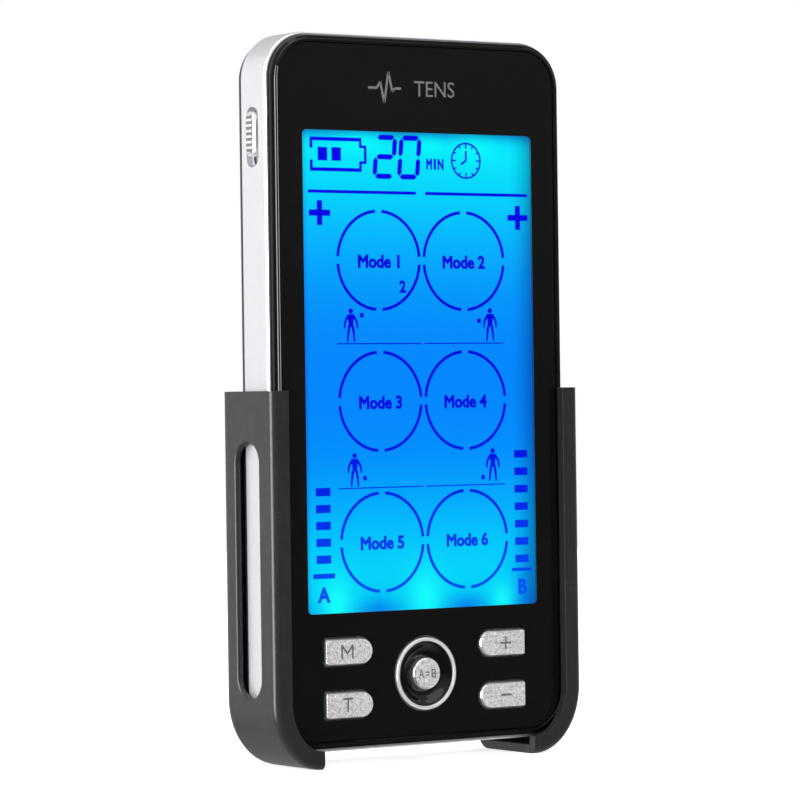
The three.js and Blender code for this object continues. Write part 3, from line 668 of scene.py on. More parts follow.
def window_axes(tree):
    """The Object coordinates, split, and the share of the window's height from 0 to 1."""
    place = tree.nodes.new("ShaderNodeTexCoord")
    axes = tree.nodes.new("ShaderNodeSeparateXYZ")
    wire(tree, (place.outputs["Object"], axes.inputs[0]))
    return axes, share_along(tree, axes.outputs["Z"], WINDOW_LOW * MM + ORIGIN[2],
                             WINDOW_HIGH * MM + ORIGIN[2])


lcd_field, tree, shader = emission_material("lcd_field")
axes, height = window_axes(tree)
# The last stop darkens the field's top edge: painted shade of the window's rim.
FIELD = [
    (0.0, (1, 165, 240)), (0.03, (1, 212, 250)), (0.09, (1, 214, 255)), (0.16, (1, 196, 255)),
    (0.24, (1, 168, 255)), (0.33, (1, 143, 255)), (0.48, (1, 134, 254)), (0.60, (1, 142, 254)),
    (0.70, (1, 160, 255)), (0.80, (1, 188, 255)), (0.90, (1, 222, 254)), (0.965, (1, 238, 254)),
    (0.985, (1, 214, 250)), (1.0, (1, 120, 190)),
]
field = ramp_by(tree, height, FIELD)


def pool(tree, centre_x, centre_z, width, tall):
    """Brightness 1 at the centre falling to 0 over an ellipse of these half sizes, in mm."""
    dx = math_node(tree, "SUBTRACT", axes.outputs["X"], centre_x * MM)
    dz = math_node(tree, "SUBTRACT", axes.outputs["Z"], centre_z * MM + ORIGIN[2])
    dx = math_node(tree, "DIVIDE", dx, width * MM)
    dz = math_node(tree, "DIVIDE", dz, tall * MM)
    away = math_node(tree, "ADD", math_node(tree, "MULTIPLY", dx, dx),
                     math_node(tree, "MULTIPLY", dz, dz))
    return math_node(tree, "EXPONENT", math_node(tree, "MULTIPLY", away, -1.6))


def mixed_in(tree, base, mask, colour, blend="MIX"):
    """Mixes a screen colour over base by the mask."""
    return laid_over(tree, base, mask, linear(*colour), blend)


LAMP, SHADOW, GLOW = (20, 255, 255), (1, 118, 238), (4, 255, 255)
POOLS = [
    (-18.0, 24.5, 4.2, 6.0, 1.0, LAMP), (0.4, 24.8, 4.6, 6.5, 1.0, LAMP),
    (17.0, 24.0, 3.6, 3.5, 1.0, LAMP), (-9.5, 22.5, 3.6, 3.6, 0.75, SHADOW),
    (9.0, 22.5, 4.0, 3.0, 0.75, SHADOW), (22.5, 24.0, 4.6, 16.0, 0.75, SHADOW),
    (-12.0, 103.2, 7.0, 2.2, 0.8, GLOW), (2.0, 103.0, 4.0, 1.8, 0.8, GLOW),
    (12.0, 102.8, 6.0, 2.6, 0.8, GLOW),
]
for x, z, wide, tall, strength, colour in POOLS:
    spot = math_node(tree, "MULTIPLY", pool(tree, x, z, wide, tall), strength)
    field = mixed_in(tree, field, spot, colour)
# Painted shade: the field is darkened towards its right and left edges, for the shade of the window's rim.
right_shade_share = share_along(tree, axes.outputs["X"], 0.0192, 0.0243)
right_shade = math_node(tree, "POWER", right_shade_share, 1.5)
field = mixed_in(tree, field, right_shade, (168, 160, 182), "MULTIPLY")
left_shade = share_along(tree, axes.outputs["X"], -0.0229, -0.0243)
field = mixed_in(tree, field, left_shade, (120, 190, 230), "MULTIPLY")
tree.links.new(field, shader.inputs["Emission Color"])

FIELD_DEPTH = 0.42
field_outline = rounded_rect(WINDOW_WIDTH + 0.6, WINDOW_HEIGHT + 0.6, 0.8, WINDOW_MIDDLE)
field_sheet = slab("display_field", field_outline,
                   [(0.1, FIELD_DEPTH), (0.0, FIELD_DEPTH + 0.1), (0.0, FIELD_DEPTH + 0.5)])
fit_window = slab("tool", window_outline, [(0.02, -2), (0.02, 4)])
combine(field_sheet, [fit_window], "INTERSECT")
placed(field_sheet, "unit", "lcd_glow", lcd_field, "lcd_glass")

# %% [markdown]
# The segments are thin flat prisms just in front of the field. Bars, arcs and seven-segment
# strokes are all polygons of a few points, so one helper gathers them and extrudes them
# together into a single mesh.

# %% Segment helpers
SEGMENT_FRONT, SEGMENT_BACK = FIELD_DEPTH - 0.06, FIELD_DEPTH - 0.005


def prisms(name, polygons, front, back):
    """Every polygon of (x, z) points becomes a closed prism from depth front to back."""
    points, faces = [], []
    for polygon in polygons:
        flat, count, first = np.asarray(polygon, float), len(polygon), len(points)
        for depth in (front, back):
            points += [(x, depth, z) for x, z in flat]
        faces += [[first + i for i in range(count)], [first + count + i for i in range(count)][::-1]]
        faces += [[first + i, first + (i + 1) % count, first + count + (i + 1) % count,
                   first + count + i] for i in range(count)]
    return new_piece(name, points, faces, merged=False)


def bar(x, z, width, height):
    """An upright rectangle round (x, z)."""
    w, h = width / 2, height / 2
    return [(x + a * w, z + b * h) for a, b in ((-1, -1), (1, -1), (1, 1), (-1, 1))]


def stroke(start, stop, width):
    """A straight line of this width from start to stop, as a rectangle."""
    a, b = np.array(start, float), np.array(stop, float)
    along = (b - a) / np.hypot(*(b - a))
    across = np.array([-along[1], along[0]]) * width / 2
    return [tuple(p) for p in (a - across, b - across, b + across, a + across)]


def band_arc(middle, radius, width, start, stop, steps=16):
    """Part of a ring of this width, from start to stop degrees."""
    outer, _ = arc(middle, radius + width / 2, start, stop, steps)
    inner, _ = arc(middle, radius - width / 2, stop, start, steps)
    return [tuple(p) for p in np.concatenate([outer, inner])]


print("a bar:", bar(0, 0, 2, 1))

# %% Frames, bars and clock
segments = []
for cx in (-8.49, 9.36):
    for cz in (83.19, 58.99, 34.83):
        segments += [band_arc((cx, cz), 8.45, 0.56, a + 4.5, a + 85.5) for a in (0, 90, 180, 270)]
segments += [stroke((-22.8, 94.85), (-0.6, 94.85), 0.54), stroke((1.4, 94.85), (23.2, 94.85), 0.54)]
for z in (68.9, 44.2):
    segments += [stroke((-17.3, z), (0.2, z), 0.2), stroke((0.8, z), (17.6, z), 0.2)]
for x, z in ((-20.5, 91.2), (21.05, 90.9)):
    segments += [bar(x, z, 4.3, 1.05), bar(x, z + 1.32, 1.05, 1.6), bar(x, z - 1.32, 1.05, 1.6)]

BATTERY = [
    ((-22.3, 103.8), (-11.8, 103.8), 0.62), ((-22.3, 98.6), (-11.8, 98.6), 0.62),
    ((-22.05, 103.6), (-22.05, 102.2), 0.55), ((-22.05, 100.2), (-22.05, 98.8), 0.55),
    ((-12.0, 103.6), (-12.0, 102.6), 0.5), ((-12.0, 99.9), (-12.0, 98.8), 0.5),
    ((-12.2, 102.6), (-10.8, 102.6), 0.45), ((-12.2, 99.9), (-10.8, 99.9), 0.45),
    ((-11.0, 102.5), (-11.0, 100.0), 0.5),
]
segments += [stroke(*line) for line in BATTERY]
segments += [bar(-19.75, 101.25, 1.9, 2.3), bar(-16.95, 101.25, 1.9, 2.3)]

clock = (10.1, 100.7)
segments += [band_arc(clock, 3.02, 0.32, a, a + 90, 12) for a in (0, 90, 180, 270)]
for hour in range(12):
    way = np.array([np.cos(np.radians(30 * hour)), np.sin(np.radians(30 * hour))])
    tick = 0.85 if hour % 3 == 0 else 0.55
    segments += [stroke(clock + way * (2.95 - tick), clock + way * 2.85, 0.26)]
segments += [stroke(clock, (10.1, 102.4), 0.36), stroke(clock, (9.0, 100.05), 0.36)]


def seven_segment(x, z, lit, wide=3.75, tall=6.7, width=0.9, lean=0.09):
    """Strokes of a leaning digit about (x, z); lit names them a to g as on any such display."""
    w, h, g = wide / 2, tall / 2, 0.12
    hexagon = lambda length: [(-length, -width / 2), (length, -width / 2), (length + width / 2, 0),
                              (length, width / 2), (-length, width / 2), (-length - width / 2, 0)]
    flat = {"a": h, "g": 0.0, "d": -h}
    upright = {"b": (w, h / 2), "c": (w, -h / 2), "f": (-w, h / 2), "e": (-w, -h / 2)}
    made = []
    for name in lit:
        if name in flat:
            shape = [(px, pz + flat[name]) for px, pz in hexagon(w - width / 2 - g)]
        else:
            mx, mz = upright[name]
            shape = [(pz + mx, px + mz) for px, pz in hexagon(h / 2 - width / 2 - g)][::-1]
        made.append([(x + px + lean * pz, z + pz) for px, pz in shape])
    return made


segments += seven_segment(-6.95, 101.0, "abged") + seven_segment(-1.85, 101.0, "abcdef")

for x, top, pitch, count, wide, tall in ((-20.55, 43.7, 2.87, 5, 2.95, 1.4),
                                         (21.05, 49.4, 3.07, 7, 2.85, 1.35)):
    segments += [bar(x, top - pitch * i, wide, tall) for i in range(count)]
segments += [bar(-20.55, 29.4, 4.4, 0.85), bar(20.95, 29.1, 4.2, 0.6)]
print("segments:", len(segments))

# %% [markdown]
# Between the rings stand four small signs that say where pads go. Each is the same plain
# upright figure, a dot and tapered strokes, with a square pad beside another part of it.

# %% Pad signs
SIGN_HEIGHT = 5.9
LIMBS = [((0.42, 0.79), (0.30, 0.62), (0.27, 0.42)), ((0.58, 0.79), (0.70, 0.62), (0.73, 0.42)),
         ((0.44, 0.48), (0.40, 0.25), (0.38, 0.02)), ((0.56, 0.48), (0.60, 0.25), (0.62, 0.02))]


def tapered(start, stop, wide_start, wide_stop):
    """A stroke whose width runs from wide_start to wide_stop."""
    a, b = np.array(start, float), np.array(stop, float)
    along = (b - a) / np.hypot(*(b - a))
    across = np.array([-along[1], along[0]]) / 2
    return [tuple(p) for p in (a - across * wide_start, b - across * wide_stop,
                               b + across * wide_stop, a + across * wide_start)]


def pad_sign(x, z, pad):
    """Polygons of a standing figure about (x, z) and its pad; joints lie on a unit square."""
    size = SIGN_HEIGHT
    at = lambda p: (x + (p[0] - 0.5) * size, z + (p[1] - 0.5) * size)
    dot, _ = arc(at((0.5, 0.92)), 0.08 * size, 0, 330, 11)
    made = [[tuple(p) for p in dot], tapered(at((0.5, 0.83)), at((0.5, 0.46)), 0.21 * size, 0.15 * size)]
    for root, middle, end in LIMBS:
        made += [tapered(at(root), at(middle), 0.09 * size, 0.075 * size),
                 tapered(at(middle), at(end), 0.075 * size, 0.05 * size)]
    return made + [bar(*at(pad), 0.13 * size, 0.13 * size)]


for x, z, pad in ((-14.4, 72.0, (0.88, 0.80)), (14.8, 72.1, (0.10, 0.62)),
                  (-14.0, 47.3, (0.85, 0.26)), (15.0, 47.6, (0.14, 0.14))):
    segments += pad_sign(x, z, pad)

lcd_ink, tree, shader = emission_material("lcd_ink")
axes, height = window_axes(tree)
ink = ramp_by(tree, height, [(0.0, (0, 92, 246)), (0.10, (0, 66, 240)), (0.28, (0, 4, 232)),
                             (0.7, (0, 0, 222)), (1.0, (0, 4, 240))])
tree.links.new(ink, shader.inputs["Emission Color"])
placed(prisms("display_segments", segments, SEGMENT_FRONT, SEGMENT_BACK), "unit", "lcd_glow",
       lcd_ink)

# %% [markdown]
# The words are text objects turned into meshes. They say only what any such display would:
# a number for each mode, a channel letter and the unit of time.

# %% Words on the display
def words(name, entries, front, back, weight=0.0):
    """Flat text from (text, x, z, height, width factor) entries as one mesh, centred on each point.
    weight swells the strokes, as a share of the type size."""
    made = []
    for text, x, z, size, stretch in entries:
        curve = bpy.data.curves.new("word", "FONT")
        curve.body = text
        curve.align_x, curve.align_y = "CENTER", "CENTER"
        curve.extrude = 0.5
        curve.bevel_depth = weight
        curve.bevel_resolution = 0
        curve.resolution_u = 4
        holder = bpy.data.objects.new("word", curve)
        bpy.context.scene.collection.objects.link(holder)
        graph = bpy.context.evaluated_depsgraph_get()
        mesh = bpy.data.meshes.new_from_object(holder.evaluated_get(graph))
        bpy.data.objects.remove(holder)
        co = np.zeros(len(mesh.vertices) * 3, np.float32)
        mesh.vertices.foreach_get("co", co)
        co = co.reshape(-1, 3)
        tall = co[:, 1].max() - co[:, 1].min()
        middle = (co[:, :2].max(0) + co[:, :2].min(0)) / 2
        flat = (co[:, :2] - middle) * size / tall
        points = np.stack([x + flat[:, 0] * stretch,
                           np.where(co[:, 2] > 0, front, back), z + flat[:, 1]], 1)
        first = sum(len(p) for p, _ in made)
        faces = [[first + v for v in face.vertices] for face in mesh.polygons]
        made.append((points, faces))
        bpy.data.meshes.remove(mesh)
    return new_piece(name, np.concatenate([p for p, _ in made]), [f for _, fs in made for f in fs])


mode_words = [(f"Mode {number}", x, z, 2.35, 0.98) for number, (x, z) in enumerate(
    [(-8.49, 83.0), (9.36, 83.0), (-8.49, 58.8), (9.36, 58.8), (-8.49, 34.7), (9.36, 34.7)], 1)]
small_words = [("2", -3.6, 78.7, 2.2, 0.9), ("M", 2.3, 99.95, 1.9, 0.66),
               ("I", 3.5, 99.95, 1.9, 1.0), ("N", 4.7, 99.95, 1.9, 0.70),
               ("A", -20.6, 26.2, 2.7, 0.95), ("B", 21.1, 26.1, 2.7, 0.95)]
placed(words("display_words", mode_words + small_words, SEGMENT_FRONT, SEGMENT_BACK,
             0.042), "unit", "lcd_glow", lcd_ink)

# %% [markdown]
# The clear part of the sheet is its own pane, so that it can be glass. Plain Principled
# transmission with low roughness keeps the display sharp and adds a clear reflection.

# %% Window pane
clear = bpy.data.materials.new("clear_acrylic")
clear.use_nodes = True
tree = clear.node_tree
shader = tree.nodes["Principled BSDF"]
shader.inputs["Transmission Weight"].default_value = 1.0
shader.inputs["IOR"].default_value = 1.22
place = tree.nodes.new("ShaderNodeTexCoord")
smear = noise(tree, place, 35.0, 4.0, 0.6)
tree.links.new(math_node(tree, "MULTIPLY", smear, 0.03), shader.inputs["Roughness"])
tint = mixed_in(tree, ramp_by(tree, smear, [(0.0, (255, 255, 255)), (1.0, (250, 253, 255))]),
                noise(tree, place, 12.0), (252, 254, 255))
tree.links.new(tint, shader.inputs["Base Color"])
pane = slab("window_pane", window_outline, [(0.06, 0.08), (0.03, 0.11), (0.03, 0.3)])
placed(pane, "unit", "clear_window", clear, "display_window")

# %% [markdown]
# ## Keys
# Each key is a plate with the D outline, a polished cut bevel and a blasted face. The
# letter is cut 0.12 mm into the face, one straight stroke at a time. The bevel and the cut
# letter are faces of the same mesh, so they get their own material by where they lie; the
# letter's floor takes a dark finish, painted shade in the cut.

# %% Key caps
KEY_FRONT, KEY_FLANGE_FRONT, KEY_FLANGE_BACK, STEM_BACK = -0.5, 1.2, 1.8, 3.1
ENGRAVED = 0.12


def by_place(piece, rules):
    """Gives faces the material index of the first rule that holds for their middle, in mm."""
    count = len(piece.data.polygons)
    middle = np.zeros(count * 3, np.float32)
    normal = np.zeros(count * 3, np.float32)
    piece.data.polygons.foreach_get("center", middle)
    piece.data.polygons.foreach_get("normal", normal)
    middle = (middle.reshape(-1, 3) - ORIGIN) / MM
    index = np.zeros(count, np.int32)
    for number, rule in rules:
        index[rule(middle, normal.reshape(-1, 3)) & (index == 0)] = number
    piece.data.polygons.foreach_set("material_index", index)


def key_profile(front):
    edge = [(0.25, front), (0.20, front + 0.02), (0.02, front + 0.29), (0.0, front + 0.36)]
    return [(0.42, front + 0.02)] + edge + [(0.0, KEY_FLANGE_FRONT), (-0.6, KEY_FLANGE_FRONT),
                                           (-0.6, KEY_FLANGE_BACK)]


# Strokes of each sign on a square from -1 to 1, as (start, stop) pairs.
SIGNS = {
    "M": [((-1, -1), (-1, 1)), ((-1, 1), (0, -0.25)), ((0, -0.25), (1, 1)), ((1, 1), (1, -1))],
    "T": [((-1, 1), (1, 1)), ((0, 1), (0, -1))],
    "+": [((-1, 0), (1, 0)), ((0, 1), (0, -1))],
    "-": [((-1, 0), (1, 0))],
    "A": [((-1, -1), (0, 1)), ((0, 1), (1, -1)), ((-0.5, -0.3), (0.5, -0.3))],
    "B": [((-1, -1), (-1, 1)), ((-1, 1), (0.6, 1)), ((-1, 0), (0.8, 0)), ((-1, -1), (0.8, -1)),
          ((0.75, 1), (0.75, 0)), ((1, 0), (1, -1))],
    "=": [((-1, 0.6), (1, 0.6)), ((-1, -0.6), (1, -0.6))],
}


def engrave(piece, sign, x, z, wide, tall, depth, width):
    """Cuts a sign into a face at this depth, one straight stroke at a time."""
    scale = np.array([wide / 2, tall / 2])
    for start, stop in SIGNS[sign]:
        a, b = np.array([x, z]) + start * scale, np.array([x, z]) + stop * scale
        extra = (b - a) / np.hypot(*(b - a)) * width * 0.35
        line = stroke(a - extra, b + extra, width)
        cut(piece, prisms("tool", [line], depth - 1.0, depth + ENGRAVED))


def face_rules(front):
    rim = lambda m, n: (m[:, 1] < front + 0.21) & (n[:, 1] > -0.97)
    sunk = lambda m, n: (m[:, 1] > front + 0.8 * ENGRAVED) & (m[:, 1] < front + 1.4 * ENGRAVED)
    side = lambda m, n: (m[:, 1] > front + 0.15) & (n[:, 1] > -0.5)
    # Index 2, the floor of the cut letter, takes the dark finish: painted shade in the cut.
    return [(2, lambda m, n: sunk(m, n) & (n[:, 1] < -0.99)), (1, side), (1, rim)]


SIGN_SIZES = {"M": (2.2, 2.2), "T": (1.7, 2.2), "+": (2.0, 2.0), "-": (2.0, 0.3)}
SIGN_SHIFT = {-1: -0.45, 1: 0.6}
for name, (side, z, letter) in KEYS.items():
    cap = slab(f"cap_{name}", key_outline(side, z), key_profile(KEY_FRONT))
    joined(cap, rod_tool(1.4, (side * KEY_X, z), 1.5, STEM_BACK))
    wide, tall = SIGN_SIZES[letter]
    engrave(cap, letter, side * KEY_X + SIGN_SHIFT[side], z, wide, tall, KEY_FRONT + 0.02, 0.34)
    placed(cap, f"key_{name}", "key_silver", blasted_silver, f"key_{name}")
    cap.data.materials.append(bright_edge)
    cap.data.materials.append(cut_floor_shade)
    by_place(cap, face_rules(KEY_FRONT))

# %% [markdown]
# The dial is a polished ring, a dished gloss seat and a round key in the middle. All three
# are turned about one axis, as they would be on a lathe.

# %% Dial ring, dish and middle key
dial_middle = (0.0, KEY_MIDDLE)
RING_OUTER, RING_INNER = 6.25, 5.62
t = np.radians(np.linspace(180, 0, 15))
crown_middle, crown = (RING_OUTER + RING_INNER) / 2, (RING_OUTER - RING_INNER) / 2
ring_profile = list(zip(crown_middle + crown * np.cos(t), -0.3 * np.sin(t)))
ring_profile += [(RING_OUTER, 1.2), (7.2, 1.2), (7.2, 1.8), (RING_INNER, 1.8)]
placed(turned("ring_of_dial", ring_profile + ring_profile[:1], dial_middle, steps=128),
       "unit", "polished_ring", chrome, "dial_ring")

u = np.linspace(0, 1, 14)
dish = list(zip(5.5 - 1.9 * u, 0.1 + 1.15 * np.sin(u * np.pi / 2) ** 1.5))
dish_profile = [(5.62, 0.16)] + dish + [(3.2, 1.3), (3.2, 1.9), (5.62, 1.9)]
placed(turned("dished_seat", dish_profile + dish_profile[:1], dial_middle, steps=128), "unit",
       "gloss_black", gloss_black, "dial_dish")

MIDDLE_FRONT = -0.5
edge = [(2.57, MIDDLE_FRONT + 0.07), (2.63, MIDDLE_FRONT + 0.10), (2.83, MIDDLE_FRONT + 0.40),
        (2.85, MIDDLE_FRONT + 0.50)]
crown_rows = [(r, MIDDLE_FRONT + 0.06 * (r / 2.55) ** 2) for r in (0.05, 0.9, 1.7, 2.3)]
middle_profile = crown_rows + edge + [(2.85, 2.2), (4.2, 2.2), (4.2, 2.5), (1.4, 2.5), (1.4, 3.1)]
middle_key = turned("cap_channel", middle_profile, dial_middle)
for sign, x, wide, tall in (("A", -1.3, 0.95, 1.3), ("=", 0.0, 0.7, 0.8), ("B", 1.3, 0.8, 1.3)):
    engrave(middle_key, sign, x, KEY_MIDDLE, wide, tall, MIDDLE_FRONT + 0.03, 0.22)
placed(middle_key, "key_channel", "key_silver", blasted_silver, "key_channel")
middle_key.data.materials.append(bright_edge)
middle_key.data.materials.append(cut_floor_shade)
# Index 2, the floor of the cut signs, takes the dark finish: painted shade in the cut.
by_place(middle_key, [
    (2, lambda m, n: (m[:, 1] > MIDDLE_FRONT + 0.12) & (m[:, 1] < MIDDLE_FRONT + 0.2)
        & (n[:, 1] < -0.99)),
    (1, lambda m, n: np.hypot(m[:, 0], m[:, 2] - KEY_MIDDLE) > 2.5),
])

# %% [markdown]
# ## Side switch
# The slide is a small pad with round ends and seven grooves for the thumb. Its hidden
# flange lies inside the silver band and closes the slot behind the pad.

# %% Ribbed slide
BAND_SIDE = -(BEZEL_WIDTH / 2 + FRAME_LIP)
SLIDE_FACE, SLIDE_BACK = BAND_SIDE - 0.8, BAND_SIDE + 1.95
slide_outline = rounded_rect(3.1, 7.6, 1.4, (SWITCH_Y, SLIDE_Z))
slide_steps = [(0.68, 0.0), (0.58, 0.03), (0.52, 0.12), (0.49, 0.27), (0.42, 0.31), (0.05, 0.48),
               (0.0, 0.58)]
slide_profile = [(inset, SLIDE_FACE + depth) for inset, depth in slide_steps]
slide = slab("switch_slide", slide_outline, slide_profile + [(0.0, SLIDE_BACK + 0.3)], SIDE)
grooves = [rod_tool(0.26, (SLIDE_FACE + 0.06, z), SWITCH_Y - 3, SWITCH_Y + 3, steps=20)
           for z in SLIDE_Z + 0.94 * np.arange(-3, 4)]
cut(slide, *grooves)
softened(slide, 0.03)
flange_outline = rounded_rect(5.3, 13.2, 0.6, (SWITCH_Y, SLIDE_Z))
joined(slide, slab("tool", flange_outline, [(0, SLIDE_BACK), (0, SLIDE_BACK + 0.7)], SIDE))
placed(slide, "side_switch", "key_silver", slide_silver, "side_switch_knob")
# The groove floors take the dark finish: painted shade in the grooves.
slide.data.materials.append(cut_floor_shade)
by_place(slide, [(1, lambda m, n: (m[:, 0] > SLIDE_FACE + 0.1) & (m[:, 0] < SLIDE_FACE + 0.28)),
                 (1, lambda m, n: (m[:, 0] > SLIDE_FACE + 0.1) & (m[:, 0] < SLIDE_FACE + 0.34)
                  & (np.abs(m[:, 1] - SWITCH_Y) < 0.95) & (np.abs(m[:, 2] - SLIDE_Z) < 2.95))])

# %% [markdown]
# ## Holster
# The cradle is an outline with one quarter ellipse at each lower corner, carried through a
# profile with a small round at the front and a larger one at the back. The cavity, the open
# front, the gap between the wrapped corners, the back's notch and the two long side slots
# are then cut out of it, and every edge that is left is softened.

# %% Holster shell
HALF, INNER_HALF, LIP_HALF = 32.1, 31.0, 28.7
H_FRONT, H_LIP, H_INNER, H_BACK = -2.0, -0.4, 13.0, 15.2
H_BOTTOM, H_INNER_BOTTOM, H_LIP_BOTTOM, H_TOP = -3.3, -1.75, -0.1, 61.0
WRAP_END = 21.6


def cradle(half, bottom, top, corner_x, corner_z):
    """Straight sides and a quarter ellipse at each lower corner; directions are the ellipse's own."""
    wide, tall = half - corner_x, corner_z - bottom
    points, way = [], []
    for middle, start in (((-corner_x, corner_z), 180), ((corner_x, corner_z), 270)):
        p, n = arc(middle, (wide, tall), start, start + 90, 28)
        n = n / np.array([wide, tall])
        points.append(p)
        way.append(n / np.linalg.norm(n, axis=1)[:, None])
    points.append(np.array([[half, top], [-half, top]]))
    way.append(np.array([[1.0, 0.0], [-1.0, 0.0]]))
    return np.concatenate(points), np.concatenate(way)


HIGH = H_TOP + 12
SLOT_ROUND = 0.5
t = np.radians(np.linspace(0, 90, 6))
flare = [(-SLOT_ROUND * (1 - np.sin(a)), -HALF + SLOT_ROUND * (1 - np.cos(a))) for a in t]
slot_profile = [(-SLOT_ROUND, -34.0)] + flare + [(inset, -x) for inset, x in flare[::-1]]
slot_profile += [(-SLOT_ROUND, 34.0)]
shell = soft_slab("cradle", cradle(HALF, H_BOTTOM, HIGH, 22.4, 8.5), H_FRONT, H_BACK, 1.2, 3.0,
                  steps=10)
boss_profile = [(0.02, H_BACK - 0.5), (9.0, H_BACK - 0.5), (9.0, 16.8), (8.88, 17.08), (8.6, 17.2),
                (0.02, 17.2)]
joined(shell, turned("tool", boss_profile, (0.0, 40.0)))
cut(
    shell,
    box_tool((-50, -20, H_TOP), (50, 40, HIGH + 5)),
    slab("tool", cradle(INNER_HALF, H_INNER_BOTTOM, HIGH + 1, 22.0, 7.6), [(0, H_LIP), (0, H_INNER)]),
    slab("tool", cradle(LIP_HALF, H_LIP_BOTTOM, HIGH + 2, 22.4, 8.5), [(0, H_FRONT - 1), (0, 0.1)]),
    box_tool((-WRAP_END - 0.7, -20, -20), (WRAP_END, 40, H_LIP_BOTTOM + GAP)),
    slab("tool", rounded_rect(34.0, 12.8, 3.0, (0.0, -3.2)), [(0, H_INNER - 1), (0, H_BACK + 1)]),
    slab("tool", rounded_rect(7.2, 43.45, 3.59, (6.275, 30.55)), slot_profile, SIDE),
    rod_tool(1.9, (0.0, 40.0), 13.6, 18.5),
)
softened(shell, 0.22)
placed(shell, "holster", "holster_plastic", holster_plastic, "holster")

# %% [markdown]
# ## Belt clip
# The base is a disc and a strap that turn on the boss, with two ears for the pin. The lever
# is a section carried along its bowed side view: a flat oval that narrows to round ends.

# %% Clip base
BASE_FRONT, BASE_BACK, EAR_NEAR, BASE_HALF = 17.5, 20.0, 7.6, 9.4
PIVOT_Y, PIVOT_Z = 23.1, 56.0
base = soft_slab("clip_base_fine", rounded_rect(2 * BASE_HALF, 31.0, 2.0, (0.0, 44.5)),
                 BASE_FRONT, BASE_BACK, 0.3, 0.3)
joined(base, soft_slab("tool", circle(10.5, (0.0, 40.0)), BASE_FRONT + 0.001, BASE_BACK - 0.001,
                       0.3, 0.3))


def ear_outline(radius, root, low, high, flip=1.0):
    """A rounded lug about the pin, open towards the plate at depth root; points and directions."""
    span, way = arc((PIVOT_Y, PIVOT_Z), radius, -90, 90, 24)
    points = np.concatenate([span, [[root, PIVOT_Z + high], [root, PIVOT_Z - low]]])
    points[:, 0] = PIVOT_Y + (points[:, 0] - PIVOT_Y) * flip
    away = points - points.mean(0)
    return points, away / np.linalg.norm(away, axis=1)[:, None]


for side in (-1, 1):
    near, far = sorted((side * EAR_NEAR, side * BASE_HALF))
    joined(base, slab("tool", ear_outline(3.0, BASE_BACK - 0.5, 5.0, 3.8), [(0, near), (0, far)],
                      SIDE))
cut(base, rod_tool(2.2, (0.0, 40.0), BASE_FRONT - 1, BASE_BACK + 1),
    rod_tool(1.3, (PIVOT_Y, PIVOT_Z), -12, 12, SIDE))
softened(base, 0.25)
placed(base, "clip", "clip_plastic", clip_plastic, "clip_base")

# %% Clip lever
LEVER_HALF = 10.0


def bezier(points, steps=16):
    """Points of a quadratic curve (1-t)^2 a + 2t(1-t) b + t^2 c, without its last point."""
    t = np.linspace(0, 1, steps + 1)[:-1, None]
    a, b, c = (np.array(p, float) for p in points)
    return (1 - t) ** 2 * a + 2 * t * (1 - t) * b + t**2 * c


section = np.concatenate([
    bezier([(24.6, 72.0), (26.2, 64.0), (26.2, 56.0)]), bezier([(26.2, 56.0), (26.2, 34.0), (25.2, 14.0)]),
    bezier([(25.2, 14.0), (24.6, 7.4), (19.4, 6.9)], 10), [[19.4, 6.9], [17.0, 7.6], [15.8, 6.2]],
    bezier([(15.8, 6.2), (18.0, 4.6), (20.0, 4.8)], 6), bezier([(20.0, 4.8), (26.4, 5.2), (27.1, 14.0)], 12),
    bezier([(27.1, 14.0), (28.0, 34.0), (28.0, 56.0)]), bezier([(28.0, 56.0), (28.0, 65.0), (26.2, 72.4)]),
    [[26.2, 72.4]],
])
tangent = np.roll(section, -1, 0) - np.roll(section, 1, 0)
outward = np.stack([tangent[:, 1], -tangent[:, 0]], 1) / np.linalg.norm(tangent, axis=1)[:, None]
area = 0.5 * np.sum(section[:, 0] * np.roll(section[:, 1], -1)
                    - section[:, 1] * np.roll(section[:, 0], -1))
outward = outward * np.sign(area)
lever = slab("clip_lever_fine", (section, outward), [(0.0, -LEVER_HALF), (0.0, LEVER_HALF)], SIDE)
front_view = slab("tool", rounded_rect(2 * LEVER_HALF, 68.6, 5.0, (0.0, 38.4)), [(0, 10), (0, 35)])
combine(lever, [front_view], "INTERSECT")
for side in (-1, 1):
    near, far = sorted((side * 3.9, side * 7.3))
    lug = slab("tool", ear_outline(2.9, 2 * PIVOT_Y - 26.6, 4.0, 4.0, -1.0), [(0, near), (0, far)],
               SIDE)
    joined(lever, lug)
cut(lever, rod_tool(1.3, (PIVOT_Y, PIVOT_Z), -12, 12, SIDE))
for i in range(5):
    groove_z = 63.0 + 1.6 * i
    depth_here = 28.0 - 0.0065 * (groove_z - 56.0) ** 2
    cut(lever, rod_tool(0.45, (depth_here + 0.22, groove_z), -7.5, 7.5, SIDE, 24))
softened(lever, 0.28, 3)
placed(lever, "clip_lever", "clip_plastic", clip_plastic, "clip_lever")

# %% [markdown]
# The torsion spring winds round the pin. One leg lies on the base, the other on the lever.

# %% Clip spring
WIRE, COIL, COIL_HALF, COIL_TURNS, LEG_TIP = 0.4, 2.0, 2.6, 4.5, 63.5


def spring_path(steps=32):
    """Middle line: (y, z) = pin + COIL (cos t, sin t) for t from pi, x evenly across, then two legs."""
    share = np.linspace(0, 1, int(COIL_TURNS * steps) + 1)
    t = np.pi + 2 * np.pi * COIL_TURNS * share
    coil = np.stack([COIL_HALF * (2 * share - 1), PIVOT_Y + COIL * np.cos(t),
                     PIVOT_Z + COIL * np.sin(t)], 1)
    leg = np.linspace(LEG_TIP, PIVOT_Z, 12)[:-1, None]
    low = np.hstack([np.tile([-COIL_HALF, PIVOT_Y - COIL], (len(leg), 1)), leg])
    high = np.hstack([np.tile([COIL_HALF, PIVOT_Y + COIL], (len(leg), 1)), leg])[::-1]
    return np.concatenate([low, coil, high])


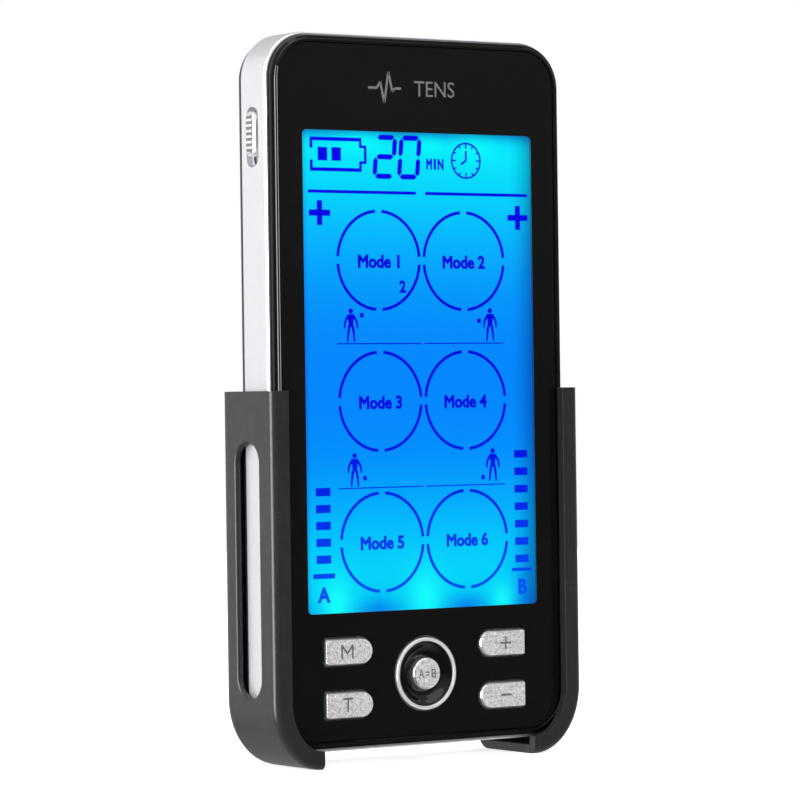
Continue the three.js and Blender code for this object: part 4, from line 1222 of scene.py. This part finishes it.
def tube(name, path, radius, sides=12):
    """A round wire: a circle in the plane across the path at each of its points, with flat ends."""
    along = np.gradient(path, axis=0)
    along /= np.linalg.norm(along, axis=1)[:, None]
    across = np.cross(along, [1.0, 0.0, 0.0])
    across /= np.linalg.norm(across, axis=1)[:, None]
    other = np.cross(along, across)
    t = np.radians(np.arange(sides) * 360 / sides)[None, :, None]
    grid = path[:, None] + radius * (np.cos(t) * across[:, None] + np.sin(t) * other[:, None])
    last = (len(path) - 1) * sides
    faces = grid_faces(len(path), sides) + [list(range(sides)), list(range(last, last + sides))]
    return new_piece(name, grid.reshape(-1, 3), faces)


spring = tube("clip_spring_fine", spring_path(), WIRE)
spring.data.materials.append(steel)
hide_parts("clip_spring")
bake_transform(spring)
print("spring wire", len(spring.data.polygons), "faces, blended from the base to the lever")

# %% [markdown]
# ## The printed mark
# A thin silver print sits on the sheet over the display. Here it is only a pulse line and
# the plain name of this kind of device.

# %% Pulse mark
pulse = [(-10.4, 112.8), (-8.6, 112.8), (-7.9, 113.9), (-7.1, 110.2), (-6.2, 115.6), (-5.4, 112.2),
         (-4.9, 112.8), (-3.6, 112.8)]
print_front, print_back = 0.035, 0.062
mark = prisms("mark_line", [stroke(a, b, 0.42) for a, b in zip(pulse, pulse[1:])], print_front,
              print_back)
label = words("mark_word", [("TENS", 3.4, 112.9, 2.7, 0.95)], print_front, print_back)
placed(mark, "unit", "key_silver", bright_edge)
placed(label, "unit", "key_silver", bright_edge)

# %% [markdown]
# ## Floor and light
# A pale disc is the floor. Soft lights stand at the left, behind at both sides and overhead.
# The left one brightens the silver side and draws the line along the holster's edge. The sky
# is dark in front, and that dark part is what the gloss panel mirrors.

# %% Floor
floor_outline = circle(0.9 / MM, (0.0, -ORIGIN[1] / MM), 128)
floor_top = -ORIGIN[2] / MM
floor = slab("floor", floor_outline, [(0, floor_top), (0, floor_top - 2.0)], TOP)
floor_white = finish("floor_white", (0.86, 0.86, 0.86), 0.7, grain_scale=60, grain_shade=0.02,
                     bump=0.0, wear_amount=0.0, dust_amount=0.0)
floor_white.node_tree.nodes["Principled BSDF"].inputs["Emission Color"].default_value = (1, 1, 1, 1)
floor_white.node_tree.nodes["Principled BSDF"].inputs["Emission Strength"].default_value = 0.72
floor.data.materials.append(floor_white)
floor.visible_glossy = floor.visible_transmission = False

# %% Lights and sky
def softbox(name, azimuth, elevation, distance, size, power):
    """An area light at this direction from the object, facing it."""
    a, e = np.radians(azimuth), np.radians(elevation)
    way = Vector((np.sin(a) * np.cos(e), -np.cos(a) * np.cos(e), np.sin(e)))
    data = bpy.data.lights.new(name, "AREA")
    data.shape = "RECTANGLE"
    data.size, data.size_y = size
    data.energy = power
    light = bpy.data.objects.new(name, data)
    bpy.context.scene.collection.objects.link(light)
    light.location = way * distance + Vector((0, 0, 0.06))
    light.rotation_mode = "QUATERNION"
    light.rotation_quaternion = way.to_track_quat("Z", "Y")
    light.visible_camera = False
    return light


softbox("left_strip", -89, 6, 0.9, (0.55, 0.9), 15.5)
softbox("left_back", -145, 8, 0.9, (0.75, 0.9), 0.6)
softbox("overhead", -20, 78, 0.9, (1.4, 1.4), 5.6)
softbox("right_back", 125, 20, 1.0, (0.5, 0.8), 2.0)

SKY_DARK, SKY_LIT = 0.07, 0.45
world = bpy.data.worlds.new("studio_sky")
bpy.context.scene.world = world
world.use_nodes = True
sky = world.node_tree
backdrop = sky.nodes["Background"]
backdrop.inputs["Color"].default_value = (1.0, 1.0, 1.0, 1.0)
toward = sky.nodes.new("ShaderNodeTexCoord")
axes = sky.nodes.new("ShaderNodeSeparateXYZ")
wire(sky, (toward.outputs["Generated"], axes.inputs[0]))
to_front = math_node(sky, "ADD", math_node(sky, "MULTIPLY", axes.outputs["X"], -0.34),
                     math_node(sky, "MULTIPLY", axes.outputs["Y"], -0.94))
lit = share_along(sky, to_front, 0.57, 0.1, SKY_DARK, SKY_LIT)
above = share_along(sky, axes.outputs["Z"], -0.02, 0.5, SKY_DARK, SKY_LIT)
seen = sky.nodes.new("ShaderNodeLightPath")
dome = math_node(sky, "MAXIMUM", lit, above)
strength = math_node(sky, "MAXIMUM", dome, seen.outputs["Is Camera Ray"])
wire(sky, (strength, backdrop.inputs["Strength"]))
